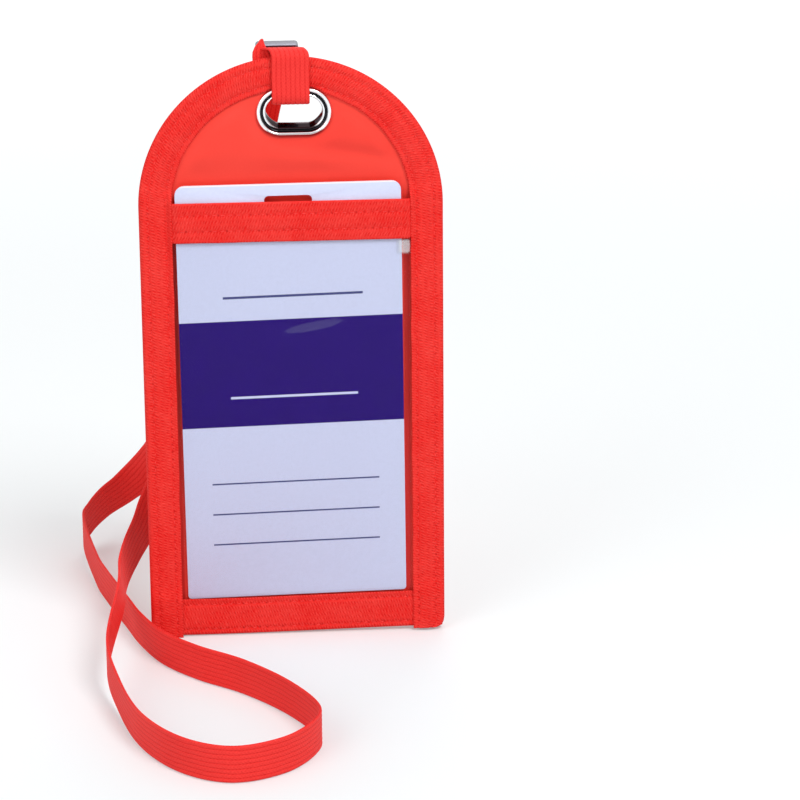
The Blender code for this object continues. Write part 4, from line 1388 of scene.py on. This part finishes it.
def makeStitches():
    shape, shapeFaces = stitchShape()
    points, faces = [], []
    pitch = stitchSet["pitch"]

    def stitch(centre, ahead, normal):
        side = ahead.cross(normal).normalized()
        base = len(points)
        for p in shape:
            rise = p.y * stitchSet["high"] - p.z ** 2 * stitchSet["bow"]
            along, aside = ahead * (p.z * stitchSet["long"]), side * (p.x * stitchSet["wide"])
            points.append(centre + along + aside + normal * rise)
        faces.extend([base + i for i in f] for f in shapeFaces)

    def seam(z, surface, offset, normal, reach):
        count = int(2 * reach / pitch)
        e = stitchSet["probe"]
        for k in range(count):
            x = -reach + (k + 0.5) * 2 * reach / count
            ahead = Vector((2 * e, surface(x + e, z) - surface(x - e, z), 0.0)).normalized()
            stitch(Vector((x, surface(x, z) + normal.y * offset, z)), ahead, normal)

    count = int(edgeRun / pitch)
    strap = stitchSet["underStrap"]
    for row in bindSet["rows"]:
        lift = sewnLift(row, bindSet["rows"], bindSet["sewn"])
        lift += pouchSet["bindThick"] / 2 - stitchSet["sunk"]
        for k in range(count):
            place, out, ahead = edgePlace((k + 0.5) * edgeRun / count)
            front, back = edgeDepths(place.z)
            p = place - out * row
            hidden = abs(p.x - strap["middle"]) < strap["half"] and p.z > strap["low"]
            if fromHole(p.x, p.z) >= stitchSet["fromHole"] and not hidden:
                slant = (ahead + out * stitchSet["lean"] * math.sin(k * stitchSet["leanTurn"])).normalized()
                stitch(p + Vector((0.0, front - lift, 0.0)), slant, forward)
                stitch(p + Vector((0.0, back + lift, 0.0)), slant, backward)
    for hem in hems.values():
        offset = hem["sheet"] / 2 + hem["tape"] - hemSet["gap"]
        for z in seamRows(hem):
            seam(z, hem["surface"], offset, forward if hem["side"] < 0 else backward, stitchSet["hemReach"])
    offset = bottomSet["thick"] / 2 - bottomSet["sewn"]["groove"]
    for z in bottomRows(bottomSet["frontTop"]):
        seam(z, lambda x, z: bottomSet["front"], offset, forward, stitchSet["bottomReach"])
    for z in bottomRows(bottomSet["backTop"]):
        seam(z, lambda x, z: bottomSet["back"], offset, backward, stitchSet["bottomReach"])
    obj = meshFrom("bindingStitches", points, faces)
    settle(obj, "holder", looks["thread"])
    print("stitches made:", len(points) // len(shape))


makeStitches()

# net pocket

netSet = {
    "across": 0.0059, "rowStep": 0.0038, "thread": 0.00105, "reach": 0.0440, "low": 0.0080,
    "underMouth": 0.0008, "wall": 0.0008, "weld": 0.0002,
    "sag": (0.0005, 0.02, 61.0), "sagFrom": (0.014, 0.01),
    "corners": [(0.0, 2 / 3), (0.5, 1 / 3), (0.5, -1 / 3), (0.0, -2 / 3), (-0.5, -1 / 3), (-0.5, 1 / 3)],
}


def makeNet():
    shape = bmesh.new()
    wide, tall = netSet["across"], netSet["rowStep"]
    high = pocketSet["netMouth"] - netSet["underMouth"]
    row, z = 0, netSet["low"]
    columns = int(netSet["reach"] / wide) + 1
    while z + tall * 2 / 3 < high:
        for column in range(-columns, columns + 1):
            x = (column + 0.5 * (row % 2)) * wide
            if abs(x) <= netSet["reach"]:
                places = [(x + cx * wide, z + cz * tall, 0.0) for cx, cz in netSet["corners"]]
                shape.faces.new([shape.verts.new(place) for place in places])
        z += tall
        row += 1
    bmesh.ops.remove_doubles(shape, verts=shape.verts, dist=netSet["weld"])
    edges, half = shape.edges[:], netSet["thread"] / 2
    bmesh.ops.bevel(shape, geom=edges, offset=half, offset_type="OFFSET", segments=1, affect="EDGES")
    holes = [f for f in shape.faces if len(f.verts) == len(netSet["corners"])]
    bmesh.ops.delete(shape, geom=holes, context="FACES")
    for v in shape.verts:
        x, z = v.co.x, v.co.y
        sag = waved(x, z, netSet["sag"]) * swell(x) * ramp(z, netSet["sagFrom"])
        v.co = Vector((x, netSurface(x, z) + sag, z))
    bmesh.ops.recalc_face_normals(shape, faces=shape.faces)
    obj = objectFrom("netPocket", shape)
    addWall(obj, netSet["wall"])
    addSmoothing(obj)
    applyAll(obj)
    smoothFaces(obj)
    outward(obj)
    settle(obj, "holder", looks["net"], "net_pocket")
    print("net made:", len(obj.data.polygons), "faces")


makeNet()

# eyelet, turned as a round one and then drawn apart to an oval

eyeletSet = {
    "segments": 72,
    "straight": (pouchSet["holeLong"] - pouchSet["holeTall"]) / 2,
    "radius": pouchSet["holeTall"] / 2,
    "weld": 0.00001,
    "barrel": {"reach": 0.00037, "front": -0.0008},
    "drawIn": {"deep": 0.0011, "back": (-0.0010, 0.0028), "low": (0.0020, -0.0060)},
    "profile": [
        (0.0000, 0.0012), (-0.0001, 0.0000), (0.0000, -0.00075), (0.00010, -0.00116),
        (0.00030, -0.00136), (0.00054, -0.00138), (0.00074, -0.00124), (0.00090, -0.00102),
        (0.00112, -0.00094), (0.00136, -0.00104), (0.00154, -0.00134), (0.00176, -0.00170),
        (0.00204, -0.00194), (0.00236, -0.00202), (0.00266, -0.00192), (0.00290, -0.00164),
        (0.00305, -0.00128), (0.00310, -0.00100), (0.00298, -0.00084), (0.00250, -0.00080),
        (0.00100, -0.00080), (0.00042, -0.00076), (0.00040, 0.00185), (0.00060, 0.00203),
        (0.00135, 0.00206), (0.00146, 0.00225), (0.00130, 0.00243), (0.00080, 0.00246),
        (0.00035, 0.00232), (0.00010, 0.00185),
    ],
}


def turnedRing(name, profile):
    radius, barrel, drawIn = eyeletSet["radius"], eyeletSet["barrel"], eyeletSet["drawIn"]
    bpy.ops.object.select_all(action="DESELECT")
    bpy.ops.mesh.primitive_circle_add(
        vertices=eyeletSet["segments"], radius=radius + profile[0][0], rotation=(pi / 2, 0.0, 0.0)
    )
    obj = bpy.context.object
    obj.name = name
    obj.data.transform(obj.rotation_euler.to_matrix().to_4x4())
    obj.rotation_euler = (0.0, 0.0, 0.0)
    bpy.ops.object.mode_set(mode="EDIT")
    bpy.ops.mesh.select_all(action="SELECT")
    bpy.ops.transform.translate(value=(0.0, profile[0][1], 0.0))
    for last, step in zip(profile, profile[1:] + profile[:1]):
        grow = (radius + step[0]) / (radius + last[0])
        bpy.ops.mesh.extrude_region_move(TRANSFORM_OT_translate={"value": (0.0, step[1] - last[1], 0.0)})
        bpy.ops.transform.resize(value=(grow, 1.0, grow), center_override=(0.0, step[1], 0.0))
    bpy.ops.mesh.select_all(action="SELECT")
    bpy.ops.mesh.remove_doubles(threshold=eyeletSet["weld"])
    bpy.ops.mesh.normals_make_consistent(inside=False)
    bpy.ops.object.mode_set(mode="OBJECT")
    bend = pi / eyeletSet["segments"]  # no point lies on the middle line
    obj.data.transform(Matrix.Rotation(bend, 4, "Y"))
    for v in obj.data.vertices:
        out = math.hypot(v.co.x, v.co.z) - radius
        if out < barrel["reach"] and v.co.y > barrel["front"]:  # the barrel draws in below, towards its back
            draw = drawIn["deep"] * ramp(v.co.y, drawIn["back"]) * ramp(v.co.z, drawIn["low"])
            ratio = 1 - draw / (radius + out)
            v.co.x *= ratio
            v.co.z *= ratio
        v.co.x += math.copysign(eyeletSet["straight"], v.co.x) + pouchSet["eyeletX"]
        v.co.z += pouchSet["eyeletZ"]
    outward(obj)
    smoothFaces(obj)
    return obj


def makeEyelet():
    ring = turnedRing("eyeletRing", eyeletSet["profile"])
    addSmoothing(ring)
    applyAll(ring)
    settle(ring, "holder", looks["chrome"], "eyelet")
    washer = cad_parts["eyelet_washer"]
    washer.data.materials.clear()
    washer.data.materials.append(looks["chrome"])
    print("eyelet made")


makeEyelet()

# crimp: a flat metal tube, open along a seam underneath


def selectWhere(obj, kind, test):
    # selects, in edit mode, the faces or edges that pass a test
    shape = bmesh.from_edit_mesh(obj.data)
    for part in getattr(shape, kind):
        part.select_set(test(part))
    bmesh.update_edit_mesh(obj.data)


def makeCrimp():
    wide = crimpSet["width"] - crimpSet["wall"]
    tall = crimpSet["height"] - crimpSet["wall"]

    def atEnd(face):
        return abs(face.normal.y) > 0.9

    def lengthwise(edge):
        a, b = edge.verts
        return abs(a.co.y - b.co.y) > crimpSet["length"] / 2

    def overSeam(face):
        middle = face.calc_center_median()
        return middle.z < -tall / 4 and abs(middle.x) < crimpSet["seam"]

    bpy.ops.object.select_all(action="DESELECT")
    bpy.ops.mesh.primitive_cube_add(size=1.0)
    obj = bpy.context.object
    obj.name = "crimpShell"
    obj.data.transform(Matrix.Diagonal((wide, crimpSet["length"], tall, 1.0)))
    bpy.ops.object.mode_set(mode="EDIT")
    bpy.ops.mesh.select_all(action="DESELECT")
    selectWhere(obj, "faces", atEnd)
    bpy.ops.mesh.delete(type="ONLY_FACE")
    selectWhere(obj, "edges", lengthwise)
    bpy.ops.mesh.bevel(offset=crimpSet["corner"], segments=crimpSet["bends"], profile=0.5, affect="EDGES")
    for side in (-1, 1):
        bpy.ops.mesh.select_all(action="SELECT")
        bpy.ops.mesh.bisect(plane_co=(side * crimpSet["seam"], 0.0, 0.0), plane_no=(1.0, 0.0, 0.0))
    selectWhere(obj, "faces", overSeam)
    bpy.ops.mesh.delete(type="FACE")
    bpy.ops.object.mode_set(mode="OBJECT")
    addWall(obj, crimpSet["wall"])
    addRounding(obj, crimpSet["edge"])
    applyAll(obj)
    outward(obj)
    obj.data.transform(Matrix.Translation((crimpSet["shift"], crimpSet["back"], crimpSet["level"])))
    bpy.ops.object.shade_smooth_by_angle(angle=pi / 5)
    settle(obj, "strap", looks["steel"], "crimp")
    print("crimp made")


makeCrimp()

# floor, backdrop and lamps

studioSet = {
    "floor": {"colour": (0.66, 0.69, 0.70), "size": 8.0, "rough": 0.9},
    # lift: the floor's painted glow, seen by the camera, mirrors and clear sheets, fainter near the pouch
    "lift": {"near": 0.27, "far": 0.62, "from": 0.35, "to": 1.7},
    "ambient": 0.56,
    "flag": {"place": (0.0, -2.0, 0.9), "wide": 2.0, "tall": 0.9, "colour": (0.01, 0.01, 0.01)},
    "aim": (0.0, 0.0, -0.1),
    "lamps": [
        {"name": "key", "place": (0.75, -1.25, 1.5), "size": 0.9, "power": 23.5},
        {"name": "fill", "place": (-1.2, -1.3, 0.9), "size": 1.3, "power": 9.0},
        {"name": "back", "place": (0.3, 1.7, 1.4), "size": 1.2, "power": 10.0},
    ],
}


def makeFloor():
    floorSet, lift = studioSet["floor"], studioSet["lift"]
    bpy.ops.mesh.primitive_plane_add(size=floorSet["size"], location=(0.0, 0.0, toFrame.z))
    floor = bpy.context.object
    floor.name = "floor"
    plain = {"Base_Color": floorSet["colour"], "Roughness": floorSet["rough"], "Specular_IOR_Level": 0.1}
    look, shade, shader = newLook("whiteFloor", **plain)
    x, y, _ = placeOf(shade).xyz()
    # painted glow, fainter near the pouch so that the floor looks darker there
    away = distance(x, y).eased(lift["from"], lift["to"])
    glow = away.tint([lift["near"]] * 3, [lift["far"]] * 3)
    glow = shade.node("ShaderNodeEmission", {}, {"Color": glow, "Strength": seenDirectly(shade)})
    lit = Shade(look.node_tree, shader.outputs[0])
    finishWith(look, shade.node("ShaderNodeAddShader", {}, {0: lit, 1: glow}))
    floor.data.materials.append(look)


def makeFlag():
    # a black flag behind the camera, seen only as dark bands in the metal
    flag = studioSet["flag"]
    bpy.ops.mesh.primitive_plane_add(size=1.0, location=flag["place"], rotation=(pi / 2, 0.0, 0.0))
    board = bpy.context.object
    board.name = "blackFlag"
    board.scale = (flag["wide"], flag["tall"], 1.0)
    board.data.materials.append(newLook("blackBoard", Base_Color=flag["colour"], Roughness=1.0)[0])


def makeLight():
    world = bpy.data.worlds.new("studio")
    bpy.context.scene.world = world
    world.use_nodes = True
    backdrop = world.node_tree.nodes["Background"]
    strength = seenDirectly(Shade(world.node_tree)) * (1.0 - studioSet["ambient"]) + studioSet["ambient"]
    world.node_tree.links.new(strength.socket, backdrop.inputs["Strength"])
    backdrop.inputs["Color"].default_value = (1.0, 1.0, 1.0, 1.0)
    for lamp in studioSet["lamps"]:
        bpy.ops.object.light_add(type="AREA", location=lamp["place"])
        light = bpy.context.object
        light.name = lamp["name"]
        light.data.shape = "DISK"
        light.data.size = lamp["size"]
        light.data.energy = lamp["power"]
        aim = Vector(studioSet["aim"]) - Vector(lamp["place"])
        light.rotation_mode = "QUATERNION"
        light.rotation_quaternion = aim.to_track_quat("-Z", "Y")
    bpy.context.scene.view_settings.view_transform = "Standard"


makeFloor()
makeFlag()
makeLight()
print("studio lit")
